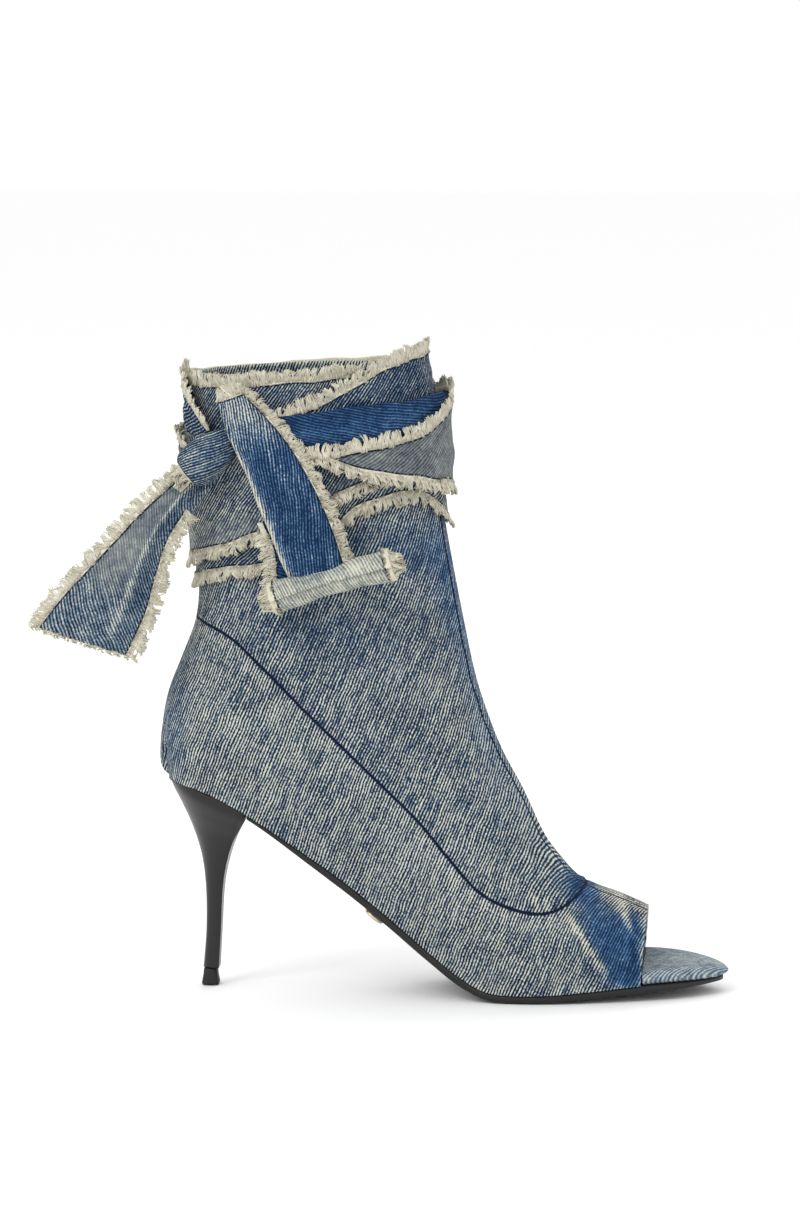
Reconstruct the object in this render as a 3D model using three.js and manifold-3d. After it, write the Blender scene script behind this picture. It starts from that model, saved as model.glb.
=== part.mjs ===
// A peep toe ankle boot for the right foot, with a stiletto heel and a long frayed tie wound round its shaft.
// Units are millimetres. +X points to the toe, +Y to the inner side of the foot, +Z up.
// The origin is the middle of the heel tip's face on the floor.
import * as THREE from 'three';
import { mergeVertices } from 'three/addons/utils/BufferGeometryUtils.js';
import Module from 'manifold-3d';

const wasm = await Module();
wasm.setup();

// Driving sizes of the last
const LENGTH = 229; // back of the heel to the tip of the toe, along the floor
const HEEL_BACK = 20; // how far the back of the boot stands behind the middle of the heel tip
const HEEL_HEIGHT = 85; // floor to the seat's edge at the back
const BALL_WIDTH = 75; // the sole across the ball
const UPPER_WIDTH = 80; // the upper across the ball
const SHAFT_HEIGHT = 180; // the seat's edge to the top of the tie
const COLLAR_RISE = 0.92; // the collar, as a share of the shaft's height
const TUCK = 8; // height over which the upper swells out from the sole's edge

// Driving sizes of the pieces
const GAP = 0.3; // clearance between two pieces that touch
const WALL = 2.2; // denim, interlining and lining together
const LASTING_MARGIN = 9; // how far the upper turns in between the insole and the outsole
const SOLE_THICKNESS = 3;
const SOLE_BEVEL = 1.1;
const SOLE_INSET = 0.4; // the outsole's edge stands inside the upper's edge
const INSOLE_THICKNESS = 3.4;
const INSOLE_PLAY = 1; // between its edge and the lining
const TOE_ROUNDING = 2.2; // the covered insole's edge beyond the toe opening
const TOE_DROP = 2.6; // how far its top falls towards the tip
const TOE_DROP_LENGTH = 30;
const BREAST = 17; // the heel's front edge, ahead of the heel tip's middle
const STEM_WIDTH = 8.6;
const SEAT_INSET = 0.4;
const TIP_HEIGHT = 6.5;
const TIP_DEPTH = 7;
const TIP_WIDTH = 9.4;
const TIP_FLARE = 0.9;
const STUD_DIAMETER = 9;
const STUD_HEIGHT = 3.4;
const STUD_ALONG = 0.386;
const STUD_SIDE = 9; // from the middle line, towards the outer side
const CLOTH = 1.4; // the tie's denim
const FRAY = 4; // width of the frayed edge
const FRAY_PROUD = 0.9; // the fray is thicker than the cloth
const TIE_WIDTH = 51;
const KNOT_LENGTH = 26;
const KNOT_HEIGHT = 17;
const KNOT_DEPTH = 16;
const KNOT_TURN = 0.14; // its place round the shaft
const KNOT_RISE = 0.739;
const KNOT_TILT = 38; // degrees
const ROLL_DIAMETER = 10.5;
const BACK_TAIL_LENGTH = 92;
const FRONT_TAIL_LENGTH = 84;
const LAYER = CLOTH + FRAY_PROUD + GAP; // one turn of the tie on top of another
const TREAD = SOLE_THICKNESS + GAP; // height of the sole's edge over the floor where the boot stands

// The sole's edge from the seat to the toe.
// along: share of LENGTH from the back. lift: share of the heel's height.
// lateral, medial: half widths to the outer and the inner side, shares of BALL_WIDTH.
const SOLE_LINE = [
  { along: 0.015, lift: 1.0, lateral: 0.0, medial: 0.0 },
  { along: 0.021, lift: 0.998, lateral: 0.127, medial: 0.127 },
  { along: 0.034, lift: 0.991, lateral: 0.211, medial: 0.209 },
  { along: 0.052, lift: 0.98, lateral: 0.265, medial: 0.263 },
  { along: 0.08, lift: 0.961, lateral: 0.307, medial: 0.303 },
  { along: 0.118, lift: 0.914, lateral: 0.331, medial: 0.32 },
  { along: 0.162, lift: 0.846, lateral: 0.337, medial: 0.317 },
  { along: 0.251, lift: 0.679, lateral: 0.324, medial: 0.28 },
  { along: 0.331, lift: 0.521, lateral: 0.317, medial: 0.249 },
  { along: 0.41, lift: 0.348, lateral: 0.34, medial: 0.253 },
  { along: 0.48, lift: 0.19, lateral: 0.391, medial: 0.307 },
  { along: 0.54, lift: 0.067, lateral: 0.447, medial: 0.38 },
  { along: 0.585, lift: 0.009, lateral: 0.484, medial: 0.436 },
  { along: 0.62, lift: 0.0, lateral: 0.499, medial: 0.465 },
  { along: 0.664, lift: 0.0, lateral: 0.504, medial: 0.487 },
  { along: 0.707, lift: 0.005, lateral: 0.493, medial: 0.495 },
  { along: 0.764, lift: 0.018, lateral: 0.461, medial: 0.483 },
  { along: 0.838, lift: 0.033, lateral: 0.393, medial: 0.433 },
  { along: 0.904, lift: 0.038, lateral: 0.311, medial: 0.36 },
  { along: 0.95, lift: 0.038, lateral: 0.22, medial: 0.267 },
  { along: 0.978, lift: 0.038, lateral: 0.136, medial: 0.173 },
  { along: 0.994, lift: 0.038, lateral: 0.067, medial: 0.091 },
  { along: 1.0, lift: 0.038, lateral: 0.0, medial: 0.0 },
];

// The back of the boot. rise: share of SHAFT_HEIGHT above the seat.
const BACK_LINE = [
  { rise: 0.0, along: 0.015 },
  { rise: 0.012, along: 0.005 },
  { rise: 0.031, along: 0.0 },
  { rise: 0.078, along: 0.0 },
  { rise: 0.122, along: 0.004 },
  { rise: 0.161, along: 0.009 },
  { rise: 0.2, along: 0.017 },
  { rise: 0.252, along: 0.033 },
  { rise: 0.299, along: 0.048 },
  { rise: 0.343, along: 0.061 },
  { rise: 0.384, along: 0.067 },
  { rise: 0.424, along: 0.069 },
  { rise: 0.5, along: 0.072 },
  { rise: 0.611, along: 0.069 },
  { rise: 0.739, along: 0.065 },
  { rise: 0.861, along: 0.063 },
  { rise: 1.0, along: 0.061 },
];

// The ridge from the toe opening over the instep and up the shin.
// Its height is lift of HEEL_HEIGHT and rise of SHAFT_HEIGHT.
const FRONT_LINE = [
  { along: 0.857, lift: 0.04, rise: 0.167 },
  { along: 0.808, lift: 0.05, rise: 0.19 },
  { along: 0.757, lift: 0.08, rise: 0.2 },
  { along: 0.73, lift: 0.12, rise: 0.202 },
  { along: 0.701, lift: 0.2, rise: 0.206 },
  { along: 0.674, lift: 0.3, rise: 0.21 },
  { along: 0.638, lift: 0.46, rise: 0.232 },
  { along: 0.602, lift: 0.6, rise: 0.251 },
  { along: 0.575, lift: 0.72, rise: 0.28 },
  { along: 0.555, lift: 0.82, rise: 0.313 },
  { along: 0.53, lift: 0.95, rise: 0.4 },
  { along: 0.503, lift: 1.0, rise: 0.558 },
  { along: 0.484, lift: 1.0, rise: 0.706 },
  { along: 0.464, lift: 1.0, rise: 0.861 },
  { along: 0.443, lift: 1.0, rise: 1.0 },
];

// The upper's sections, from the toe opening round the heel to the top of the shaft.
// base: where a section starts, on the sole's edge (below 0, share of LENGTH ahead of the seat)
// or up the back (above 0, rise). front: where it ends, as a share of the ridge's length.
// lateral, medial: half widths, shares of UPPER_WIDTH. wide: share of the section's height up to which it
// keeps its width. crown: 1 is a round top, more is a sharper ridge.
// nose: length of the rounding at the back, share of UPPER_WIDTH. rings: mesh rings up to the next row.
const SECTIONS = [
  { base: -0.833, front: 0.0, lateral: 0.385, medial: 0.42, wide: 0.3, crown: 1.0, nose: 0.4, rings: 2 },
  { base: -0.745, front: 0.087, lateral: 0.455, medial: 0.475, wide: 0.3, crown: 1.08, nose: 0.4, rings: 2 },
  { base: -0.662, front: 0.153, lateral: 0.5, medial: 0.49, wide: 0.3, crown: 1.2, nose: 0.4, rings: 4 },
  { base: -0.548, front: 0.22, lateral: 0.48, medial: 0.455, wide: 0.32, crown: 1.32, nose: 0.4, rings: 3 },
  { base: -0.43, front: 0.308, lateral: 0.44, medial: 0.405, wide: 0.36, crown: 1.35, nose: 0.4, rings: 3 },
  { base: -0.299, front: 0.383, lateral: 0.412, medial: 0.38, wide: 0.38, crown: 1.3, nose: 0.4, rings: 2 },
  { base: -0.168, front: 0.444, lateral: 0.4, medial: 0.375, wide: 0.4, crown: 1.22, nose: 0.4, rings: 3 },
  { base: -0.061, front: 0.488, lateral: 0.395, medial: 0.38, wide: 0.42, crown: 1.15, nose: 0.4, rings: 2 },
  { base: -0.034, front: 0.502, lateral: 0.393, medial: 0.38, wide: 0.43, crown: 1.14, nose: 0.4, rings: 2 },
  { base: -0.013, front: 0.516, lateral: 0.392, medial: 0.38, wide: 0.43, crown: 1.13, nose: 0.4, rings: 2 },
  { base: -0.003, front: 0.53, lateral: 0.391, medial: 0.38, wide: 0.44, crown: 1.12, nose: 0.4, rings: 2 },
  { base: 0.004, front: 0.546, lateral: 0.39, medial: 0.38, wide: 0.44, crown: 1.1, nose: 0.4, rings: 1 },
  { base: 0.03, front: 0.563, lateral: 0.387, medial: 0.378, wide: 0.44, crown: 1.09, nose: 0.41, rings: 2 },
  { base: 0.1, front: 0.588, lateral: 0.38, medial: 0.372, wide: 0.45, crown: 1.08, nose: 0.42, rings: 3 },
  { base: 0.217, front: 0.627, lateral: 0.368, medial: 0.362, wide: 0.46, crown: 1.05, nose: 0.45, rings: 2 },
  { base: 0.367, front: 0.68, lateral: 0.357, medial: 0.352, wide: 0.48, crown: 1.02, nose: 0.5, rings: 2 },
  { base: 0.522, front: 0.745, lateral: 0.362, medial: 0.356, wide: 0.5, crown: 1.0, nose: 0.55, rings: 2 },
  { base: 0.72, front: 0.845, lateral: 0.38, medial: 0.375, wide: 0.5, crown: 1.0, nose: 0.56, rings: 2 },
  { base: 0.86, front: 0.922, lateral: 0.388, medial: 0.385, wide: 0.5, crown: 1.0, nose: 0.56, rings: 2 },
  { base: 1.0, front: 1.0, lateral: 0.39, medial: 0.388, wide: 0.5, crown: 1.0, nose: 0.56, rings: 0 },
];
const SIDE_POINTS = 12; // mesh points up each side of a section

// The heel, from its tip up to the seat. back, front: shares of BREAST behind and ahead of the tip's middle.
// backRise, frontRise: heights as shares of the heel's height above the tip.
// width: share from the stem (0) to the seat (1).
const HEEL_ROWS = [
  { back: 0.176, backRise: 0.0, front: 0.206, frontRise: 0.0, width: 0.0 },
  { back: 0.106, backRise: 0.2, front: 0.259, frontRise: 0.2, width: 0.0 },
  { back: 0.112, backRise: 0.41, front: 0.312, frontRise: 0.41, width: 0.06 },
  { back: 0.2, backRise: 0.58, front: 0.42, frontRise: 0.55, width: 0.2 },
  { back: 0.4, backRise: 0.73, front: 0.6, frontRise: 0.67, width: 0.45 },
  { back: 0.64, backRise: 0.855, front: 0.81, frontRise: 0.755, width: 0.74 },
  { back: 0.87, backRise: 0.96, front: 0.96, frontRise: 0.815, width: 0.95 },
  { back: 0.96, backRise: 1.04, front: 1.0, frontRise: 0.87, width: 1.0 },
];

// The tie's turns round the shaft. turn: 0 back, 0.25 outer side, 0.5 front, 0.75 inner side.
// low, high: edges as shares of SHAFT_HEIGHT above the seat. layer: how many layers of cloth lie beneath.
const INNER_TURN = [
  { turn: 0.0, low: 0.433, high: 0.9, layer: 0 },
  { turn: 0.12, low: 0.458, high: 0.903, layer: 0 },
  { turn: 0.2, low: 0.478, high: 0.914, layer: 0 },
  { turn: 0.265, low: 0.545, high: 0.922, layer: 0 },
  { turn: 0.31, low: 0.603, high: 0.93, layer: 0 },
  { turn: 0.39, low: 0.63, high: 0.933, layer: 0 },
  { turn: 0.45, low: 0.603, high: 0.933, layer: 0 },
  { turn: 0.5, low: 0.567, high: 0.933, layer: 0 },
  { turn: 0.62, low: 0.58, high: 0.928, layer: 0 },
  { turn: 0.75, low: 0.544, high: 0.92, layer: 0 },
  { turn: 0.88, low: 0.478, high: 0.908, layer: 0 },
];
const MIDDLE_TURN = [
  { turn: 0.0, low: 0.478, high: 0.775, layer: 1 },
  { turn: 0.07, low: 0.492, high: 0.772, layer: 1 },
  { turn: 0.145, low: 0.521, high: 0.77, layer: 1 },
  { turn: 0.2, low: 0.556, high: 0.768, layer: 1 },
  { turn: 0.265, low: 0.612, high: 0.762, layer: 1 },
  { turn: 0.31, low: 0.652, high: 0.756, layer: 1 },
  { turn: 0.37, low: 0.683, high: 0.756, layer: 1 },
  { turn: 0.5, low: 0.672, high: 0.76, layer: 1 },
  { turn: 0.62, low: 0.65, high: 0.765, layer: 1 },
  { turn: 0.75, low: 0.6, high: 0.77, layer: 1 },
  { turn: 0.88, low: 0.528, high: 0.775, layer: 1 },
];
const CROSS_TURN = [
  { turn: 0.2, low: 0.79, high: 0.822, layer: 1 },
  { turn: 0.265, low: 0.787, high: 0.864, layer: 1 },
  { turn: 0.31, low: 0.787, high: 0.898, layer: 1 },
  { turn: 0.36, low: 0.79, high: 0.94, layer: 1 },
  { turn: 0.42, low: 0.795, high: 0.968, layer: 1 },
  { turn: 0.5, low: 0.8, high: 0.983, layer: 1 },
  { turn: 0.6, low: 0.8, high: 0.965, layer: 1 },
  { turn: 0.75, low: 0.8, high: 0.93, layer: 1 },
  { turn: 0.88, low: 0.8, high: 0.911, layer: 1 },
  { turn: 1.0, low: 0.8, high: 0.906, layer: 1 },
  { turn: 1.05, low: 0.797, high: 0.903, layer: 1.4 },
  { turn: 1.08, low: 0.78, high: 0.87, layer: 2 },
  { turn: 1.12, low: 0.755, high: 0.81, layer: 2 },
];
const FOLD_TURN = [
  { turn: 0.15, low: 0.778, high: 0.85, layer: 2 },
  { turn: 0.22, low: 0.76, high: 0.822, layer: 2 },
  { turn: 0.3, low: 0.745, high: 0.843, layer: 2 },
  { turn: 0.4, low: 0.778, high: 0.857, layer: 2 },
  { turn: 0.46, low: 0.81, high: 0.864, layer: 2 },
  { turn: 0.5, low: 0.84, high: 0.868, layer: 2 },
];
const OUTER_TURN = [
  { turn: 0.2, low: 0.717, high: 0.756, layer: 3 },
  { turn: 0.265, low: 0.717, high: 0.755, layer: 3 },
  { turn: 0.31, low: 0.689, high: 0.769, layer: 3 },
  { turn: 0.36, low: 0.669, high: 0.786, layer: 3 },
  { turn: 0.42, low: 0.653, high: 0.817, layer: 3 },
  { turn: 0.47, low: 0.647, high: 0.852, layer: 3 },
  { turn: 0.51, low: 0.642, high: 0.883, layer: 3 },
  { turn: 0.6, low: 0.64, high: 0.87, layer: 2.6 },
  { turn: 0.75, low: 0.64, high: 0.83, layer: 2.1 },
  { turn: 0.9, low: 0.661, high: 0.79, layer: 2 },
  { turn: 1.0, low: 0.672, high: 0.78, layer: 2 },
  { turn: 1.05, low: 0.683, high: 0.765, layer: 2 },
  { turn: 1.11, low: 0.695, high: 0.742, layer: 2 },
];
const TURN_STEPS = 44; // mesh steps for one whole turn

// The knot, from its blunt lower end to the end that narrows under the front tail.
// along: share of KNOT_LENGTH. size: share of its height and depth.
const KNOT_FORM = [
  { along: 0.0, size: 0.42 },
  { along: 0.05, size: 0.74 },
  { along: 0.16, size: 0.94 },
  { along: 0.36, size: 1.0 },
  { along: 0.58, size: 0.92 },
  { along: 0.8, size: 0.7 },
  { along: 0.95, size: 0.46 },
  { along: 1.0, size: 0.24 },
];

// The tie's two ends hang on the outer side. x0, z0 and x1, z1: their two edges from the knot's middle,
// in shares of the end's length.
// out: outwards from the plane that touches the outermost turn, share of TIE_WIDTH.
const FRONT_TAIL = [
  { x0: 0.03, z0: 0.27, x1: 0.15, z1: 0.31, out: -0.12 },
  { x0: 0.06, z0: 0.17, x1: 0.27, z1: 0.2, out: -0.04 },
  { x0: 0.11, z0: 0.04, x1: 0.37, z1: 0.09, out: -0.01 },
  { x0: 0.18, z0: -0.11, x1: 0.45, z1: -0.03, out: 0.0 },
  { x0: 0.26, z0: -0.31, x1: 0.54, z1: -0.2, out: -0.02 },
  { x0: 0.33, z0: -0.5, x1: 0.61, z1: -0.38, out: -0.04 },
  { x0: 0.41, z0: -0.66, x1: 0.66, z1: -0.55, out: -0.06 },
];
const FRONT_UNDERLAY = [
  { x0: 0.22, z0: -0.32, x1: 0.4, z1: -0.28, out: -0.07 },
  { x0: 0.275, z0: -0.46, x1: 0.46, z1: -0.42, out: -0.09 },
  { x0: 0.285, z0: -0.66, x1: 0.52, z1: -0.6, out: -0.1 },
];
const ROLL_ENDS = [
  { along: 0.29, rise: -0.68, out: -0.06 },
  { along: 0.86, rise: -0.51, out: -0.04 },
];
const BACK_TAIL = [
  { x0: -0.02, z0: 0.02, x1: 0.05, z1: -0.06, out: -0.26 },
  { x0: -0.1, z0: -0.04, x1: 0.0, z1: -0.14, out: -0.24 },
  { x0: -0.2, z0: -0.13, x1: -0.08, z1: -0.24, out: -0.2 },
  { x0: -0.32, z0: -0.24, x1: -0.17, z1: -0.38, out: -0.17 },
  { x0: -0.44, z0: -0.37, x1: -0.22, z1: -0.53, out: -0.15 },
  { x0: -0.56, z0: -0.5, x1: -0.26, z1: -0.68, out: -0.14 },
  { x0: -0.67, z0: -0.62, x1: -0.31, z1: -0.8, out: -0.14 },
  { x0: -0.77, z0: -0.75, x1: -0.35, z1: -0.88, out: -0.15 },
];

const xAt = (along) => along * LENGTH - HEEL_BACK;
const zAt = (rise) => HEEL_HEIGHT + rise * SHAFT_HEIGHT;
const liftAt = (lift) => TREAD + lift * (HEEL_HEIGHT - TREAD);
const clamp = THREE.MathUtils.clamp;
const SEAT = SOLE_LINE[0].along;

// A value read from a list of samples by a key that only grows.
function reader(samples, key, value) {
  const kept = samples.filter((s, i) => i === 0 || samples.slice(0, i).every((b) => b[key] < s[key]));
  return (at) => {
    const last = kept.length - 1;
    if (at <= kept[0][key]) return kept[0][value];
    if (at >= kept[last][key]) return kept[last][value];
    let low = 0;
    let high = last;
    while (high - low > 1) {
      const middle = (low + high) >> 1;
      if (kept[middle][key] <= at) low = middle;
      else high = middle;
    }
    const share = (at - kept[low][key]) / (kept[high][key] - kept[low][key]);
    return kept[low][value] + share * (kept[high][value] - kept[low][value]);
  };
}

// A smooth curve through points, as evenly spaced samples.
function smooth(points, count, closed = false) {
  return new THREE.CatmullRomCurve3(points, closed, 'centripetal').getPoints(count);
}

// A table's column at a share of the table, on a smooth curve through its rows.
function column(rows, name, share) {
  const place = clamp(share, 0, 1) * (rows.length - 1);
  const i = Math.min(Math.floor(place), rows.length - 2);
  const t = place - i;
  const [a, b, c, d] = [i - 1, i, i + 1, i + 2].map((k) => rows[clamp(k, 0, rows.length - 1)][name]);
  return b + 0.5 * t * (c - a + t * (2 * a - 5 * b + 4 * c - d + t * (3 * (b - c) + d - a)));
}

const SAMPLES = 400; // points on a smoothed line or plan
const flat = (x, z) => new THREE.Vector3(x, 0, z);
const soleSamples = smooth(SOLE_LINE.map((r) => flat(xAt(r.along), liftAt(r.lift))), SAMPLES);
const soleHeight = reader(soleSamples, 'x', 'z');
const soleSlope = (x) => soleHeight(x + 1) - soleHeight(x - 1);
const steepness = (x) => Math.hypot(1, soleSlope(x) / 2);
// Height of the line that runs a distance above the sole's edge, measured square to it.
const above = (x, distance) => soleHeight(x) + distance * steepness(x);

const backSamples = smooth(BACK_LINE.map((r) => flat(xAt(r.along), zAt(r.rise))), SAMPLES);
const backPlace = reader(backSamples, 'z', 'x');
const frontCurve = new THREE.CatmullRomCurve3(
  FRONT_LINE.map((r) => flat(xAt(r.along), r.lift * HEEL_HEIGHT + r.rise * SHAFT_HEIGHT)),
  false,
  'centripetal',
);
frontCurve.arcLengthDivisions = 2 * SAMPLES;

// The plan of the sole's edge, drawn in by an inset (or out, if it is negative).
const outlines = new Map();
function outline(inset) {
  if (outlines.has(inset)) return outlines.get(inset);
  const onPlan = (row, y) => new THREE.Vector3(xAt(row.along), y * BALL_WIDTH, 0);
  const lateral = SOLE_LINE.map((r) => onPlan(r, -r.lateral));
  const medial = SOLE_LINE.slice(1, -1).map((r) => onPlan(r, r.medial));
  const loop = smooth([...lateral, ...medial.reverse()], 3 * SAMPLES, true).slice(0, -1);
  const moved = loop.map((p, i) => {
    const before = loop[(i + loop.length - 1) % loop.length];
    const after = loop[(i + 1) % loop.length];
    const along = after.clone().sub(before).normalize();
    return { x: p.x - along.y * inset, side: p.y + along.x * inset };
  });
  const sorted = (keep) => moved.filter((p) => keep(p.side))
    .map((p) => ({ x: p.x, half: Math.abs(p.side) }))
    .sort((a, b) => a.x - b.x);
  const made = {
    lateral: reader(sorted((y) => y <= 0), 'x', 'half'),
    medial: reader(sorted((y) => y >= 0), 'x', 'half'),
    back: Math.min(...moved.map((p) => p.x)),
    tip: Math.max(...moved.map((p) => p.x)),
  };
  const half = (read) => (x) => (x <= made.back || x >= made.tip ? 0 : read(x));
  made.lateral = half(made.lateral);
  made.medial = half(made.medial);
  outlines.set(inset, made);
  return made;
}

// A point of the sole's edge or the back, moved outwards by a distance.
function basePoint(base, outset) {
  const at = (b) => (b < 0
    ? new THREE.Vector2(xAt(SEAT - b), soleHeight(xAt(SEAT - b)))
    : new THREE.Vector2(backPlace(zAt(b)), zAt(b)));
  const step = 0.004;
  const along = at(base + step).sub(at(base - step)).normalize();
  return at(base).add(new THREE.Vector2(-along.y, along.x).multiplyScalar(outset));
}

// The upper's form, moved outwards by a distance: negative for its lining, positive for what lies on it.
const forms = new Map();
function form(outset) {
  if (forms.has(outset)) return forms.get(outset);
  const back = Array.from({ length: SAMPLES + 1 }, (_, i) => basePoint(i / SAMPLES, outset));
  const made = { outset, edge: outline(-outset), backPlace: reader(back, 'y', 'x') };
  forms.set(outset, made);
  return made;
}

// One point of the upper: a share of the way through the sections, a share up the section, and the side.
function skinPoint(shape, share, up, side) {
  const base = basePoint(column(SECTIONS, 'base', share), shape.outset);
  const front = clamp(column(SECTIONS, 'front', share), 0, 1);
  const ridge = frontCurve.getPointAt(front);
  const rising = frontCurve.getTangentAt(front);
  const x = base.x + up * (ridge.x + rising.z * shape.outset - base.x);
  const z = base.y + up * (ridge.z - rising.x * shape.outset - base.y);
  const full = column(SECTIONS, side, share) * UPPER_WIDTH + shape.outset;
  const inside = clamp((x - shape.backPlace(z)) / (column(SECTIONS, 'nose', share) * UPPER_WIDTH), 0, 1);
  const wide = column(SECTIONS, 'wide', share);
  const over = Math.max(0, (up - wide) / (1 - wide));
  const crown = Math.max(0, 1 - over * over) ** (column(SECTIONS, 'crown', share) / 2);
  const wall = full * Math.sqrt(1 - (1 - inside) ** 2) * crown;
  const edge = shape.edge[side](x);
  const clear = Math.max(0, (z - soleHeight(x)) / steepness(x) + shape.outset);
  const hold = Math.exp(-((clear / (TUCK + Math.max(0, wall - edge) * 0.8)) ** 1.5));
  return new THREE.Vector3(x, (wall + (edge - wall) * hold) * (side === 'lateral' ? -1 : 1), z);
}

// One closed section: from the middle of the bottom up the outer side, over the ridge, down the inner side.
function sectionRing(shape, share) {
  const up = (k) => (1 - Math.cos((Math.PI * k) / SIDE_POINTS)) / 2;
  const sides = Array.from({ length: SIDE_POINTS }, (_, k) => k);
  const lateral = [...sides, SIDE_POINTS].map((k) => skinPoint(shape, share, up(k), 'lateral'));
  const medial = sides.reverse().map((k) => skinPoint(shape, share, up(k), 'medial'));
  lateral[SIDE_POINTS].y = 0;
  const middle = new THREE.Vector3(lateral[0].x, 0, lateral[0].z);
  return [middle, ...lateral, ...medial];
}

// The share of the section table at which the back line has risen to a height.
function shareAtRise(rise) {
  let low = 0.5;
  let high = 1;
  for (let i = 0; i < 40; i += 1) {
    const middle = (low + high) / 2;
    if (column(SECTIONS, 'base', middle) < rise) low = middle;
    else high = middle;
  }
  return (low + high) / 2;
}

// Positions and triangle corners as one closed solid, with its faces turned outwards.
function toSolid(points, corners) {
  const geometry = new THREE.BufferGeometry();
  const numbers = points.flatMap((p) => [p.x, p.y, p.z]);
  geometry.setAttribute('position', new THREE.Float32BufferAttribute(numbers, 3));
  geometry.setIndex(corners);
  return solidFromGeometry(geometry);
}

function solidFromGeometry(geometry) {
  const bare = geometry.clone();
  bare.deleteAttribute('normal');
  bare.deleteAttribute('uv');
  const merged = mergeVertices(bare, 1e-3);
  const position = merged.getAttribute('position');
  const index = merged.index.array;
  const kept = [];
  let volume = 0;
  const [a, b, c] = [new THREE.Vector3(), new THREE.Vector3(), new THREE.Vector3()];
  for (let i = 0; i < index.length; i += 3) {
    const [p, q, r] = [index[i], index[i + 1], index[i + 2]];
    if (p !== q && q !== r && r !== p) {
      kept.push(p, q, r);
      a.fromBufferAttribute(position, p);
      b.fromBufferAttribute(position, q);
      c.fromBufferAttribute(position, r);
      volume += a.dot(b.cross(c));
    }
  }
  if (volume < 0) kept.reverse();
  return new wasm.Manifold(new wasm.Mesh({
    numProp: 3,
    vertProperties: new Float32Array(position.array),
    triVerts: new Uint32Array(kept),
  }));
}

// A solid through a stack of rings with equally many points.
// Its ends are closed rung by rung, or the last ring meets the first.
function loft(rings, closed = false) {
  const count = rings[0].length;
  const corners = [];
  const quad = (a, b, c, d) => corners.push(a, b, c, a, c, d);
  const last = rings.length - 1;
  for (let i = 0; i < (closed ? rings.length : last); i += 1) {
    const next = (i + 1) % rings.length;
    for (let k = 0; k < count; k += 1) {
      const other = (k + 1) % count;
      quad(i * count + k, i * count + other, next * count + other, next * count + k);
    }
  }
  if (!closed) {
    for (let k = 0; k < Math.floor(count / 2); k += 1) {
      const back = count - 1 - k;
      if (back - 1 >= k + 1) {
        quad(k, back, back - 1, k + 1);
        quad(last * count + k, last * count + k + 1, last * count + back - 1, last * count + back);
      }
    }
  }
  return toSolid(rings.flat(), corners);
}

const group = new THREE.Group();
function place(name, solid, colour, roughness, metalness = 0) {
  const made = solid.getMesh();
  const geometry = new THREE.BufferGeometry();
  geometry.setAttribute('position', new THREE.Float32BufferAttribute(made.vertProperties, 3));
  geometry.setIndex(new THREE.Uint32BufferAttribute(made.triVerts, 1));
  geometry.computeVertexNormals();
  const finish = new THREE.MeshStandardMaterial({ color: colour, roughness, metalness });
  const mesh = new THREE.Mesh(geometry, finish);
  mesh.name = name;
  group.add(mesh);
}

// The upper's closed volume at an outset, from the toe opening to a rise, drawn out past both ends.
const PAST = 20; // how far a cutting solid runs on past the piece it cuts
function upperVolume(outset, rise, past = 0) {
  const shape = form(outset);
  const shares = [];
  SECTIONS.slice(0, -1).forEach((row, i) => {
    for (let k = 0; k < row.rings; k += 1) shares.push((i + k / row.rings) / (SECTIONS.length - 1));
  });
  const top = shareAtRise(rise);
  const rings = [...shares.filter((s) => s < top - 0.01), top].map((s) => sectionRing(shape, s));
  if (past > 0) {
    rings.unshift(rings[0].map((p) => p.clone().add(new THREE.Vector3(past, 0, 0))));
    rings.push(rings.at(-1).map((p) => p.clone().add(new THREE.Vector3(0, 0, past))));
  }
  return loft(rings);
}

// A flat piece that follows the sole's line. inset draws its edge in; low and high give its faces over x.
function board({ inset, low, high, from = -Infinity, to = Infinity, round = 0, bevel = 0, steps = 40 }) {
  const edge = outline(inset);
  const start = Math.max(edge.back, from);
  const end = Math.min(edge.tip, to);
  const rings = Array.from({ length: steps + 1 }, (_, i) => {
    const x = (start + end) / 2 - ((end - start) / 2) * Math.cos((Math.PI * i) / steps);
    const bottom = low(x);
    const top = high(x);
    const r = Math.min(round, (top - bottom) / 2);
    const b = Math.min(bevel, (top - bottom) / 2);
    const turned = 1 - Math.SQRT1_2;
    const profile = [[b, bottom], [0, bottom + b], [0, top - r], [r * turned, top - r * turned], [r, top]];
    const side = (half, sign) => profile.map(([inwards, z]) => (
      new THREE.Vector3(x, sign * Math.max(0, half - inwards), z)
    ));
    return [...side(edge.lateral(x), -1), ...side(edge.medial(x), 1).reverse()];
  });
  return loft(rings);
}

function makeUpper() {
  const outer = upperVolume(0, COLLAR_RISE);
  const lining = upperVolume(-WALL, COLLAR_RISE, PAST);
  const lastingHole = board({
    inset: LASTING_MARGIN,
    low: (x) => above(x, -WALL),
    high: (x) => above(x, 2 * WALL),
    to: xAt(FRONT_LINE[0].along) + PAST,
  });
  return outer.subtract(lining).subtract(lastingHole);
}

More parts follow.
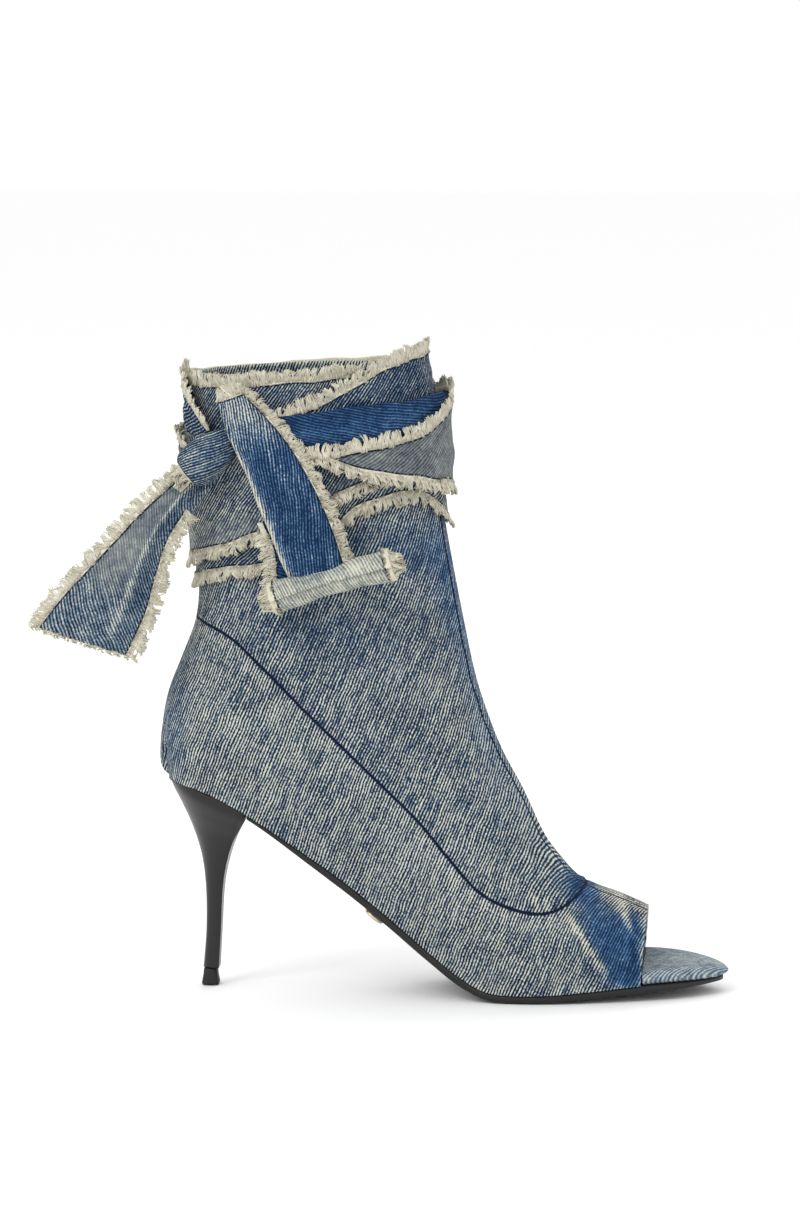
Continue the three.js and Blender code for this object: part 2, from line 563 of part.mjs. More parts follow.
function makeInsole() {
  const under = WALL + GAP;
  const opening = xAt(SEAT - SECTIONS[0].base);
  const toeStart = opening + 3 * GAP;
  const top = (x) => above(x, under + INSOLE_THICKNESS);
  const inside = board({
    inset: WALL + INSOLE_PLAY,
    low: (x) => above(x, under),
    high: top,
    to: toeStart + INSOLE_THICKNESS,
    round: INSOLE_PLAY,
  });
  const tip = xAt(1);
  const fall = (x) => TOE_DROP * clamp((x - tip + TOE_DROP_LENGTH) / TOE_DROP_LENGTH, 0, 1) ** 2;
  const toe = board({
    inset: GAP,
    low: (x) => above(x, 0),
    high: (x) => top(x) - fall(x),
    from: toeStart,
    round: TOE_ROUNDING,
    steps: 18,
  });
  return inside.add(toe);
}

function makeOutsole() {
  return board({
    inset: SOLE_INSET,
    low: (x) => Math.max(0, above(x, -TREAD)),
    high: (x) => above(x, -GAP),
    from: BREAST + GAP,
    bevel: SOLE_BEVEL,
    steps: 44,
  });
}

// The heel: rings that are round behind and flat in front, from the stem to the seat's own outline.
const HEEL_STEPS = 16;
function makeHeel() {
  const seatWidth = outline(SEAT_INSET).lateral(BREAST);
  const heightAbove = HEEL_HEIGHT - TIP_HEIGHT;
  const rings = Array.from({ length: HEEL_STEPS }, (_, i) => {
    const share = i / (HEEL_STEPS - 1);
    const back = -column(HEEL_ROWS, 'back', share) * BREAST;
    const front = column(HEEL_ROWS, 'front', share) * BREAST;
    const low = TIP_HEIGHT + GAP;
    const backZ = low + column(HEEL_ROWS, 'backRise', share) * heightAbove;
    const frontZ = low + column(HEEL_ROWS, 'frontRise', share) * heightAbove;
    const width = clamp(column(HEEL_ROWS, 'width', share), 0, 1);
    const power = 2 / (2 + 0.6 * width);
    return Array.from({ length: HEEL_STEPS + 1 }, (_ignored, k) => {
      const angle = (Math.PI * k) / HEEL_STEPS;
      const depth = Math.sin(angle) ** power;
      const across = Math.sign(Math.cos(angle)) * Math.abs(Math.cos(angle)) ** power;
      const half = THREE.MathUtils.lerp(STEM_WIDTH / 2, seatWidth, width);
      const x = front - depth * (front - back);
      return new THREE.Vector3(x, -half * across, frontZ + depth * (backZ - frontZ));
    });
  });
  const overSeat = board({
    inset: -UPPER_WIDTH / 4,
    low: (x) => above(x, -GAP),
    high: () => 2 * HEEL_HEIGHT,
    to: BREAST + UPPER_WIDTH,
  });
  return loft(rings).subtract(overSeat);
}

// The heel tip: a block with round corners that flares a little towards the floor.
function makeTip() {
  const corner = TIP_DEPTH / 3;
  const ring = (z, grow) => {
    const [depth, width] = [TIP_DEPTH / 2 + grow - corner, TIP_WIDTH / 2 + grow - corner];
    const corners = [[1, -1, -90], [1, 1, 0], [-1, 1, 90], [-1, -1, 180]];
    return corners.flatMap(([sx, sy, from]) => [0, 30, 60, 90].map((turn) => {
      const angle = THREE.MathUtils.degToRad(from + turn);
      const [x, y] = [sx * depth + corner * Math.cos(angle), sy * width + corner * Math.sin(angle)];
      return new THREE.Vector3(x, y, z);
    }));
  };
  return loft([ring(0, -TIP_FLARE / 3), ring(TIP_FLARE, 0), ring(TIP_HEIGHT, -TIP_FLARE)]);
}

const UP = new THREE.Vector3(0, 1, 0); // the axis that a lathed form is made on
const ROUND_SIDES = 14;

// A plain round stud on the underside of the waist, square to the sole.
function makeStud() {
  const x = xAt(STUD_ALONG);
  const radius = STUD_DIAMETER / 2;
  const profile = [[0, 0], [radius * 0.7, 0], [radius * 0.7, 0.3], [radius, 0.45], [radius, 0.75]]
    .map(([r, share]) => new THREE.Vector2(r, share * STUD_HEIGHT));
  const dome = [60, 30, 0].map((turn) => {
    const angle = THREE.MathUtils.degToRad(turn);
    return new THREE.Vector2(radius * Math.sin(angle), STUD_HEIGHT * (0.75 + 0.25 * Math.cos(angle)));
  });
  const geometry = new THREE.LatheGeometry([...profile, ...dome], ROUND_SIDES);
  const downhill = new THREE.Vector3(soleSlope(x) / 2, 0, -1).normalize();
  geometry.applyQuaternion(new THREE.Quaternion().setFromUnitVectors(UP, downhill));
  const seat = new THREE.Vector3(x, -STUD_SIDE, above(x, -TREAD)).addScaledVector(downhill, 1.5 * GAP);
  geometry.translate(seat.x, seat.y, seat.z);
  return solidFromGeometry(geometry);
}

// A point on the shaft at a turn and a height, lying a distance off the upper.
function shaftPoint(turn, z, outset) {
  const whole = ((turn % 1) + 1) % 1;
  const up = (1 - Math.cos(2 * Math.PI * whole)) / 2;
  const side = whole < 0.5 ? 'lateral' : 'medial';
  const shape = form(Math.round(outset * 100) / 100);
  let low = 0.45;
  let high = 1;
  for (let i = 0; i < 30; i += 1) {
    const middle = (low + high) / 2;
    if (skinPoint(shape, middle, up, side).z < z) low = middle;
    else high = middle;
  }
  return skinPoint(shape, (low + high) / 2, up, side);
}

// A table of turns read at any turn, on a straight or, for a whole ring, repeating table.
function turnRow(rows, turn, closed) {
  const list = closed ? [...rows, { ...rows[0], turn: 1 }] : rows;
  const read = (name) => reader(list, 'turn', name)(turn);
  return { low: read('low'), high: read('high'), layer: read('layer') };
}

// One turn of the tie: a wall of cloth that follows the upper's own form, thicker along its frayed edges.
function makeTurn(rows, closed, { frayLow = true, frayHigh = true } = {}) {
  const start = rows[0].turn;
  const end = closed ? 1 : rows.at(-1).turn;
  const steps = Math.max(8, Math.round((end - start) * TURN_STEPS));
  const rings = Array.from({ length: closed ? steps : steps + 1 }, (_, i) => {
    const turn = start + ((end - start) * i) / steps;
    const row = turnRow(rows, turn, closed);
    const [low, high] = [zAt(row.low), zAt(row.high)];
    const fray = Math.min(FRAY, (high - low) / 3);
    const inner = GAP + row.layer * LAYER;
    const at = (z, thickness) => shaftPoint(turn, z, inner + thickness);
    const proud = (worn) => CLOTH + (worn ? FRAY_PROUD : 0);
    return [
      at(low, 0),
      at((low + high) / 2, 0),
      at(high, 0),
      at(high, proud(frayHigh)),
      at(high - fray, proud(frayHigh)),
      at(high - 1.3 * fray, CLOTH),
      at((low + high) / 2, CLOTH),
      at(low + 1.3 * fray, CLOTH),
      at(low + fray, proud(frayLow)),
      at(low, proud(frayLow)),
    ];
  });
  return loft(rings, closed);
}

// The knot sits on the turns of the tie, at the shaft's outer back corner.
const KNOT_OUTSET = 3 * LAYER;
const knotMiddle = shaftPoint(KNOT_TURN, zAt(KNOT_RISE), KNOT_OUTSET + KNOT_DEPTH / 4);
// The plane that touches the outermost turn on the outer side.
const flank = -UPPER_WIDTH * SECTIONS.at(-1).lateral - KNOT_OUTSET - LAYER;

function makeKnot(grow = 0) {
  const length = KNOT_LENGTH + 2 * grow;
  const rows = KNOT_FORM.map((row) => (
    new THREE.Vector2(row.size * (KNOT_HEIGHT / 2) + grow, (row.along - 0.5) * length)
  ));
  const ends = [-length / 2, length / 2].map((y) => new THREE.Vector2(0, y));
  const geometry = new THREE.LatheGeometry([ends[0], ...rows, ends[1]], ROUND_SIDES + 2);
  geometry.scale(1, 1, KNOT_DEPTH / KNOT_HEIGHT);
  geometry.rotateX(Math.PI / 2);
  geometry.rotateY(Math.PI / 2);
  geometry.rotateX(Math.PI / 2);
  geometry.rotateY(-THREE.MathUtils.degToRad(KNOT_TILT));
  geometry.translate(knotMiddle.x, knotMiddle.y, knotMiddle.z);
  return solidFromGeometry(geometry);
}

// A strip of cloth between two edges that a table gives from the knot's middle, bowed a little outwards.
function makeStrip(rows, length, thickness, bow) {
  const rings = rows.map((row) => {
    const y = flank - row.out * TIE_WIDTH;
    const edge = (x, z) => new THREE.Vector3(knotMiddle.x + x * length, y, knotMiddle.z + z * length);
    const [a, b] = [edge(row.x0, row.z0), edge(row.x1, row.z1)];
    const across = [0, 0.2, 0.5, 0.8, 1];
    const face = (depth) => across.map((t) => {
      const p = a.clone().lerp(b, t);
      p.y -= depth + bow * Math.sin(Math.PI * t);
      return p;
    });
    return [...face(thickness), ...face(0).reverse()];
  });
  return loft(rings);
}

function makeRoll() {
  const [a, b] = ROLL_ENDS.map((end) => new THREE.Vector3(
    knotMiddle.x + end.along * FRONT_TAIL_LENGTH,
    flank - end.out * TIE_WIDTH,
    knotMiddle.z + end.rise * FRONT_TAIL_LENGTH,
  ));
  const axis = b.clone().sub(a);
  const radius = ROLL_DIAMETER / 2;
  const swell = [[0, 0.9], [0.06, 1.15], [0.1, 0.85], [0.5, 1], [0.9, 0.8], [0.94, 1.1], [1, 0.85]];
  const profile = swell.map(([share, size]) => new THREE.Vector2(size * radius, share * axis.length()));
  const ends = [0, axis.length()].map((y) => new THREE.Vector2(0, y));
  const geometry = new THREE.LatheGeometry([ends[0], ...profile, ends[1]], ROUND_SIDES);
  const turn = new THREE.Quaternion().setFromUnitVectors(UP, axis.clone().normalize());
  geometry.applyQuaternion(turn);
  geometry.translate(a.x, a.y, a.z);
  return solidFromGeometry(geometry);
}

function makeFrontTail() {
  const tail = makeStrip(FRONT_TAIL, FRONT_TAIL_LENGTH, CLOTH * 1.6, CLOTH);
  const underlay = makeStrip(FRONT_UNDERLAY, FRONT_TAIL_LENGTH, CLOTH * 1.6, 0);
  return tail.add(underlay).add(makeRoll());
}

const DENIM = '#7d93a8';
const WORN_DENIM = '#9aa3a6';
const DARK_DENIM = '#2c527f';
const BLACK = '#1d1d1e';
const wraps = {
  inner: makeTurn(INNER_TURN, true),
  middle: makeTurn(MIDDLE_TURN, true, { frayHigh: false }),
  cross: makeTurn(CROSS_TURN, false, { frayLow: false }),
  fold: makeTurn(FOLD_TURN, false, { frayLow: false, frayHigh: false }),
  outer: makeTurn(OUTER_TURN, false),
};
const knot = makeKnot().subtract(upperVolume(KNOT_OUTSET, 1, PAST));
const knotRoom = makeKnot(GAP);
const shaftRoom = upperVolume(KNOT_OUTSET + CLOTH, 1, PAST);
const clearOfKnot = (end) => end.subtract(knotRoom).subtract(shaftRoom);

place('upper', makeUpper(), DENIM, 0.9);
place('insole', makeInsole(), DENIM, 0.9);
place('outsole', makeOutsole(), BLACK, 0.5);
place('heel', makeHeel(), BLACK, 0.35);
place('heel_tip', makeTip(), BLACK, 0.6);
place('sole_stud', makeStud(), '#c9b98f', 0.3, 1);
place('tie_inner_turn', wraps.inner, DENIM, 0.9);
place('tie_middle_turn', wraps.middle, DENIM, 0.9);
place('tie_cross_turn', wraps.cross, DENIM, 0.9);
place('tie_fold', wraps.fold, DARK_DENIM, 0.9);
place('tie_outer_turn', wraps.outer, WORN_DENIM, 0.9);
place('tie_knot', knot, DENIM, 0.9);
place('tie_front_tail', clearOfKnot(makeFrontTail()), DARK_DENIM, 0.9);
place('tie_back_tail', clearOfKnot(makeStrip(BACK_TAIL, BACK_TAIL_LENGTH, CLOTH, 2 * CLOTH)), DENIM, 0.9);

export default group;
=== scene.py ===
# %% [markdown]
# # A peep toe ankle boot in frayed denim
# The boot is for the right foot. Its upper is acid-washed denim with a black lining, on a thin black
# sole and a slim stiletto heel. A wide strip of denim with frayed edges is wound round the shaft,
# crossed at the front and knotted on the outer side. This lesson builds each piece as a surface: a
# function of two numbers, worked out for a whole grid of points at once, and then woven into a mesh.
#
# The measured model comes first. It fixes where every piece lies, and each piece below stands for one
# of its nodes. +X points to the toe, +Y to the inner side of the foot, +Z up, and the origin is on the
# floor under the heel. Lengths here are in millimetres, and become metres when a mesh is made.

# %% Load the measured model
import math

import bmesh
import bpy
import numpy as np
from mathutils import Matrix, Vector


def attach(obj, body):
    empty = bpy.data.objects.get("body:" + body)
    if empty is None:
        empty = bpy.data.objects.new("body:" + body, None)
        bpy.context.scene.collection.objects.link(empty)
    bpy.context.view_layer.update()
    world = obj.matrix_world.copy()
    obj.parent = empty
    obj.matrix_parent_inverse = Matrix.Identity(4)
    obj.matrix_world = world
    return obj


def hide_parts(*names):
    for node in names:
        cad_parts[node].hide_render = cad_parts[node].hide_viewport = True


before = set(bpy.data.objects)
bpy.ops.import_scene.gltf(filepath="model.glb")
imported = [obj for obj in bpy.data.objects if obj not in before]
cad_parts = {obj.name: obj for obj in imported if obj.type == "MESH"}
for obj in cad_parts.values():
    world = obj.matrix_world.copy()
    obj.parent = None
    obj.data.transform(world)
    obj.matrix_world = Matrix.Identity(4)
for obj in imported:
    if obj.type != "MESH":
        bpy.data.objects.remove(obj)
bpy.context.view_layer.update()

# %% [markdown]
# ## The boot's sizes
# A last is the foot-shaped form that a boot is made on. A few sizes fix it: its length, the height of
# the heel, the width of the ball and of the upper, and the height of the shaft. Tables then say how its
# lines run, as shares of those sizes, so that each number in a table stays a plain proportion.

# %% Sizes and small helpers
MM = 0.001
LENGTH = 229
HEEL_BACK = 20
HEEL_HEIGHT = 85
BALL_WIDTH = 75
UPPER_WIDTH = 80
SHAFT_HEIGHT = 180
COLLAR_RISE = 0.92
TUCK = 8
GAP = 0.3
FAR_SKIN = 8
WALL = 2.2
LASTING_MARGIN = 9
SOLE_THICKNESS = 3
TREAD = SOLE_THICKNESS + GAP
CLOTH = 1.4
FRAY = 4
LAYER = CLOTH + 0.9 + GAP


def rows(names, values):
    """A table as one array for each of its named columns."""
    return dict(zip(names.split(), np.array(values, float).T))


def x_at(along):
    return np.asarray(along) * LENGTH - HEEL_BACK


def z_at(rise):
    return HEEL_HEIGHT + np.asarray(rise) * SHAFT_HEIGHT


def unit(vectors):
    """The same vectors with length 1. The last axis holds x, y and z."""
    return vectors / np.maximum(np.linalg.norm(vectors, axis=-1, keepdims=True), 1e-9)


def ramp(value, low, high):
    """0 below low, 1 above high, and a soft step of 3t^2 - 2t^3 between them."""
    t = np.clip((value - low) / (high - low), 0, 1)
    return t * t * (3 - 2 * t)


def bell(value, middle, width):
    """1 at the middle, falling off on both sides: exp(-((value - middle) / width)^2)."""
    return np.exp(-(((value - middle) / width) ** 2))


print(f"a last of {LENGTH} mm, with a heel of {HEEL_HEIGHT} mm and a shaft of {SHAFT_HEIGHT} mm above it")


# %% Tables of the last
SOLE_LINE = rows("along lift lateral medial", [
    (0.015, 1.0, 0.0, 0.0), (0.021, 0.998, 0.127, 0.127), (0.034, 0.991, 0.211, 0.209),
    (0.052, 0.98, 0.265, 0.263), (0.08, 0.961, 0.307, 0.303), (0.118, 0.914, 0.331, 0.32),
    (0.162, 0.846, 0.337, 0.317), (0.251, 0.679, 0.324, 0.28), (0.331, 0.521, 0.317, 0.249),
    (0.41, 0.348, 0.34, 0.253), (0.48, 0.19, 0.391, 0.307), (0.54, 0.067, 0.447, 0.38),
    (0.585, 0.009, 0.484, 0.436), (0.62, 0.0, 0.499, 0.465), (0.664, 0.0, 0.504, 0.487),
    (0.707, 0.005, 0.493, 0.495), (0.764, 0.018, 0.461, 0.483), (0.838, 0.033, 0.393, 0.433),
    (0.904, 0.038, 0.311, 0.36), (0.95, 0.038, 0.22, 0.267), (0.978, 0.038, 0.136, 0.173),
    (0.994, 0.038, 0.067, 0.091), (1.0, 0.038, 0.0, 0.0),
])
BACK_LINE = rows("rise along", [
    (0.0, 0.015), (0.012, 0.005), (0.031, 0.0), (0.078, 0.0), (0.122, 0.004), (0.161, 0.009),
    (0.2, 0.017), (0.252, 0.033), (0.299, 0.048), (0.343, 0.061), (0.384, 0.067), (0.424, 0.069),
    (0.5, 0.072), (0.611, 0.069), (0.739, 0.065), (0.861, 0.063), (1.0, 0.061),
])
FRONT_LINE = rows("along lift rise", [
    (0.857, 0.04, 0.167), (0.808, 0.05, 0.19), (0.757, 0.08, 0.2), (0.73, 0.12, 0.202),
    (0.701, 0.2, 0.206), (0.674, 0.3, 0.21), (0.638, 0.46, 0.232), (0.602, 0.6, 0.251),
    (0.575, 0.72, 0.28), (0.555, 0.82, 0.313), (0.53, 0.95, 0.4), (0.503, 1.0, 0.558),
    (0.484, 1.0, 0.706), (0.464, 1.0, 0.861), (0.443, 1.0, 1.0),
])
SECTIONS = rows("base front lateral medial widest crown nose", [
    (-0.833, 0.0, 0.385, 0.42, 0.3, 1.0, 0.4), (-0.745, 0.087, 0.455, 0.475, 0.3, 1.08, 0.4),
    (-0.662, 0.153, 0.5, 0.49, 0.3, 1.2, 0.4), (-0.548, 0.22, 0.48, 0.455, 0.32, 1.32, 0.4),
    (-0.43, 0.308, 0.44, 0.405, 0.36, 1.35, 0.4), (-0.299, 0.383, 0.412, 0.38, 0.38, 1.3, 0.4),
    (-0.168, 0.444, 0.4, 0.375, 0.4, 1.22, 0.4), (-0.061, 0.488, 0.395, 0.38, 0.42, 1.15, 0.4),
    (-0.034, 0.502, 0.393, 0.38, 0.43, 1.14, 0.4), (-0.013, 0.516, 0.392, 0.38, 0.43, 1.13, 0.4),
    (-0.003, 0.53, 0.391, 0.38, 0.44, 1.12, 0.4), (0.004, 0.546, 0.39, 0.38, 0.44, 1.1, 0.4),
    (0.03, 0.563, 0.387, 0.378, 0.44, 1.09, 0.41), (0.1, 0.588, 0.38, 0.372, 0.45, 1.08, 0.42),
    (0.217, 0.627, 0.368, 0.362, 0.46, 1.05, 0.45), (0.367, 0.68, 0.357, 0.352, 0.48, 1.02, 0.5),
    (0.522, 0.745, 0.362, 0.356, 0.5, 1.0, 0.55), (0.72, 0.845, 0.38, 0.375, 0.5, 1.0, 0.56),
    (0.86, 0.922, 0.388, 0.385, 0.5, 1.0, 0.56), (1.0, 1.0, 0.39, 0.388, 0.5, 1.0, 0.56),
])
print(len(SOLE_LINE["along"]), "rows for the sole's edge and", len(SECTIONS["base"]), "for the sections")

# %% [markdown]
# ## The last as a surface
# A boot's side could be pushed into shape by hand with a subdivision cage. A function does better here,
# because the same form is needed many times: for the upper, and again a little further out for each
# turn of the tie. Straight lines are drawn in the side view, from the sole's edge or the back of the
# boot to the ridge of the instep. Each line is one section. Along a section the half width stays full
# up to its widest point and then closes over the ridge like a quarter of an ellipse, and near the sole
# it is held in to the sole's own edge.


# %% Smooth lines through the tables
def smooth(points, count, closed=False):
    """Points on a smooth curve through the given ones: a cubic between each pair, with slopes from the
    neighbours, each counted by the square root of its distance."""
    p = np.asarray(points, float)
    if closed:
        p = np.vstack([p[-1:], p, p[:2]])
    else:
        p = np.vstack([2 * p[0] - p[1], p, 2 * p[-1] - p[-2]])
    step = np.maximum(np.linalg.norm(np.diff(p, axis=0), axis=1) ** 0.5, 1e-4)[:, None]
    before, own, after = step[:-2], step[1:-1], step[2:]
    a, b, c, d = p[:-3], p[1:-2], p[2:-1], p[3:]
    leave = ((b - a) / before - (c - a) / (before + own) + (c - b) / own) * own
    reach = ((c - b) / own - (d - b) / (own + after) + (d - c) / after) * own
    place = np.linspace(0, len(b), count + 1)
    i = np.minimum(place.astype(int), len(b) - 1)
    t = (place - i)[:, None]
    return (
        b[i]
        + t * leave[i]
        + t**2 * (3 * (c - b) - 2 * leave - reach)[i]
        + t**3 * (2 * (b - c) + leave + reach)[i]
    )


def column(table, name, share):
    """A table's column at a share of the table, on a cubic through its rows."""
    values = table[name]
    place = np.clip(share, 0, 1) * (len(values) - 1)
    i = np.minimum(place.astype(int), len(values) - 2)
    t = place - i
    a, b, c, d = [values[np.clip(i + k, 0, len(values) - 1)] for k in (-1, 0, 1, 2)]
    return b + 0.5 * t * (c - a + t * (2 * a - 5 * b + 4 * c - d + t * (3 * (b - c) + d - a)))


SOLE_POINTS = 400
BACK_POINTS = 300
FRONT_POINTS = 600
OUTLINE_POINTS = 1200
edge_height = TREAD + SOLE_LINE["lift"] * (HEEL_HEIGHT - TREAD)
sole_x, sole_z = smooth(np.stack([x_at(SOLE_LINE["along"]), edge_height], 1), SOLE_POINTS).T
back_x, back_z = smooth(np.stack([x_at(BACK_LINE["along"]), z_at(BACK_LINE["rise"])], 1), BACK_POINTS).T
front_height = FRONT_LINE["lift"] * HEEL_HEIGHT + FRONT_LINE["rise"] * SHAFT_HEIGHT
front_line = smooth(np.stack([x_at(FRONT_LINE["along"]), front_height], 1), FRONT_POINTS)
front_run = np.append(0, np.cumsum(np.linalg.norm(np.diff(front_line, axis=0), axis=1)))
front_share = front_run / front_run[-1]
front_slope = unit(np.gradient(front_line, axis=0))
print(f"the ridge is {front_run[-1]:.0f} mm long")


def sole_height(x):
    return np.interp(x, sole_x, sole_z)


def steepness(x):
    return np.hypot(1, (sole_height(x + 1) - sole_height(x - 1)) / 2)


def above(x, distance):
    """Height of the line that runs a distance above the sole's edge, measured square to it."""
    return sole_height(x) + distance * steepness(x)


# %% The sole's outline in plan
outlines = {}


def outline(inset):
    """The sole's outline, moved inwards, as rows of x and y for the outer and for the inner side."""
    if inset not in outlines:
        x = x_at(SOLE_LINE["along"])
        outer = np.stack([x, -SOLE_LINE["lateral"] * BALL_WIDTH], 1)
        inner = np.stack([x, SOLE_LINE["medial"] * BALL_WIDTH], 1)[1:-1]
        loop = smooth(np.vstack([outer, inner[::-1]]), OUTLINE_POINTS, closed=True)[:-1]
        along = unit(np.roll(loop, -1, 0) - np.roll(loop, 1, 0))
        moved = loop + inset * np.stack([-along[:, 1], along[:, 0]], 1)
        moved = moved[np.argsort(moved[:, 0])]
        outlines[inset] = (moved[moved[:, 1] <= 0], moved[moved[:, 1] >= 0])
    return outlines[inset]


def half_width(x, side, inset=0.0):
    """Half width of the sole's outline at x, on the outer side (side -1) or the inner side (side 1)."""
    outer, inner = outline(inset)
    widths = [np.interp(x, s[:, 0], np.abs(s[:, 1]), left=0, right=0) for s in (outer, inner)]
    return np.where(side < 0, *widths)


ball_x = x_at(0.664)
print("the sole is", round(float(half_width(ball_x, -1) + half_width(ball_x, 1)), 1), "mm wide at the ball")


# %% The skin of the last
def base_point(base, outset):
    """Where a section starts in the side view: on the sole's edge below 0, up the back above 0."""
    def on_line(b):
        x = np.where(b < 0, x_at(SOLE_LINE["along"][0] - b), np.interp(z_at(b), back_z, back_x))
        return np.stack([x, np.where(b < 0, sole_height(x), z_at(b))], -1)

    along = unit(on_line(base + 0.004) - on_line(base - 0.004))
    moved = on_line(base) + outset * np.stack([-along[..., 1], along[..., 0]], -1)
    return moved[..., 0], moved[..., 1]


def skin(share, up, side, outset=0.0):
    """A point of the last: a share through the sections, a share up the section, and the side, moved
    out. Half width = full width x sqrt(1 - (1 - q)^2) round the back x sqrt(1 - over^2)^crown over the
    ridge."""
    start_x, start_z = base_point(column(SECTIONS, "base", share), outset)
    reach = np.clip(column(SECTIONS, "front", share), 0, 1)
    ridge, slope = [
        np.stack([np.interp(reach, front_share, line[:, k]) for k in (0, 1)], -1)
        for line in (front_line, front_slope)
    ]
    x = start_x + up * (ridge[..., 0] + slope[..., 1] * outset - start_x)
    z = start_z + up * (ridge[..., 1] - slope[..., 0] * outset - start_z)
    full = np.where(side < 0, column(SECTIONS, "lateral", share), column(SECTIONS, "medial", share))
    full = full * UPPER_WIDTH + outset
    back = base_point(np.linspace(0, 1, 160), outset)
    nose = column(SECTIONS, "nose", share) * UPPER_WIDTH
    inside = np.clip((x - np.interp(z, back[1], back[0])) / nose, 0, 1)
    widest = column(SECTIONS, "widest", share)
    over = np.clip((up - widest) / (1 - widest), 0, 1)
    wall = full * np.sqrt(1 - (1 - inside) ** 2) * (1 - over**2) ** (column(SECTIONS, "crown", share) / 2)
    edge = half_width(x, side, -outset)
    clear = np.maximum(0, (z - sole_height(x)) / steepness(x) + outset)
    hold = np.exp(-((clear / (TUCK + np.maximum(0, wall - edge) * 0.8)) ** 1.5))
    return np.stack([x, (wall + (edge - wall) * hold) * side, z], -1)


def share_at_rise(rise):
    """The share of the section table at which the back line has risen to a height, by halving."""
    low, high = 0.5, 1.0
    for _ in range(30):
        middle = (low + high) / 2
        low, high = (middle, high) if column(SECTIONS, "base", np.array(middle)) < rise else (low, middle)
    return (low + high) / 2


def round_shaft(turn, z, outset):
    """A point round the shaft: turn 0 is the back, 0.25 the outer side, 0.5 the front, 0.75 the inner
    side. The share that gives the height z is found by halving, at two outsets, and the result runs
    straight through the two points."""
    turn, z, outset = np.broadcast_arrays(turn, z, outset)
    whole = turn % 1
    up = (1 - np.cos(2 * np.pi * whole)) / 2
    side = np.where(whole < 0.5, -1, 1)
    found = []
    for distance in (0, FAR_SKIN):
        low = np.full(z.shape, 0.45)
        high = np.ones(z.shape)
        for _ in range(20):
            middle = (low + high) / 2
            below = skin(middle, up, side, distance)[..., 2] < z
            low = np.where(below, middle, low)
            high = np.where(below, high, middle)
        found.append(skin((low + high) / 2, up, side, distance))
    return found[0] + (found[1] - found[0]) * outset[..., None] / FAR_SKIN


print("the collar's back:", round_shaft(0.0, z_at(COLLAR_RISE), 0.0).round(1), "mm")


# %% [markdown]
# ## From a grid to a mesh
# Every piece below is a grid of points, and its faces only say which neighbours join. The mesh keeps a
# map called cloth with it: how far a point lies across and along the cloth's twill, in millimetres, so
# that the weave keeps its size wherever the cloth goes. Points that fall together, as at a pole, are
# welded.


# %% Weave grids into meshes
def grid_faces(row_count, column_count, wrap_columns=False):
    """Four corners for each cell of a grid, as numbers into its points row by row."""
    i = np.arange(row_count - 1)[:, None] * column_count
    j = np.arange(column_count if wrap_columns else column_count - 1)[None, :]
    next_i, next_j = i + column_count, (j + 1) % column_count
    corners = [i + j, i + next_j, next_i + next_j, next_i + j]
    return np.stack(np.broadcast_arrays(*corners), -1).reshape(-1, 4)


def add_object(name, data):
    """A new object in the scene that shows a mesh, a lamp or a camera."""
    made = bpy.data.objects.new(name, data)
    bpy.context.scene.collection.objects.link(made)
    return made


def weave(name, points, faces, cloth=None, marks=None, finishes=(), weld=0.0, caps=(), finish_of=None):
    """A mesh object from points in millimetres, faces, a cloth map, finishes, and marks, which are
    numbers on its points. finish_of numbers the finish of each face."""
    mesh = bpy.data.meshes.new(name)
    flat = np.asarray(points, float).reshape(-1, 3)
    mesh.from_pydata((flat * MM).tolist(), [], np.asarray(faces).tolist() + [list(cap) for cap in caps])
    if cloth is not None:
        corner = np.empty(len(mesh.loops), np.int32)
        mesh.loops.foreach_get("vertex_index", corner)
        layer = mesh.uv_layers.new(name="cloth")
        layer.data.foreach_set("uv", np.asarray(cloth, float).reshape(-1, 2)[corner].ravel())
    for mark, values in (marks or {}).items():
        layer = mesh.attributes.new(mark, "FLOAT", "POINT")
        layer.data.foreach_set("value", np.asarray(values, float).ravel())
    for finish in finishes:
        mesh.materials.append(finish)
    if finish_of is not None:
        mesh.polygons.foreach_set("material_index", np.asarray(finish_of, np.int32).ravel())
    if weld:
        shape = bmesh.new()
        shape.from_mesh(mesh)
        bmesh.ops.remove_doubles(shape, verts=shape.verts, dist=weld * MM)
        bmesh.ops.dissolve_degenerate(shape, edges=shape.edges, dist=1e-7)
        shape.to_mesh(mesh)
        shape.free()
    mesh.shade_smooth()
    print(f"{name}: {len(mesh.polygons)} faces")
    return add_object(name, mesh)


def weave_rings(name, rings, finish, cloth=None, marks=None, weld=0.01, turned=True):
    """A closed body from rings one after the other, with a flat cap at both ends. turned says that its
    faces have to be turned round to look outwards."""
    count, size = rings.shape[:2]
    first, last = range(size), range((count - 1) * size, count * size)
    caps = [first, last[::-1]] if turned else [first[::-1], last]
    faces = grid_faces(count, size, wrap_columns=True)
    return weave(name, rings, faces[:, ::-1] if turned else faces, cloth, marks, (finish,), weld, caps)


def settle(piece, slot, *nodes):
    """The piece rides on the boot and stands for the nodes named. slot is not used."""
    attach(piece, "root")
    if nodes:
        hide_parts(*nodes)
    return piece


def thicken(piece, depth, lining=0):
    """Gives a sheet its thickness, inwards. lining is added to the number of each inner face's finish."""
    modifier = piece.modifiers.new("thickness", "SOLIDIFY")
    modifier.thickness = depth * MM
    modifier.offset = -1
    modifier.material_offset = lining
    return piece


# %% The surface's own normals
def grid_normals(points):
    """Unit normals of a grid: the cross product of its two directions, and zero at a pole."""
    return unit(np.cross(np.gradient(points, axis=1), np.gradient(points, axis=0)))


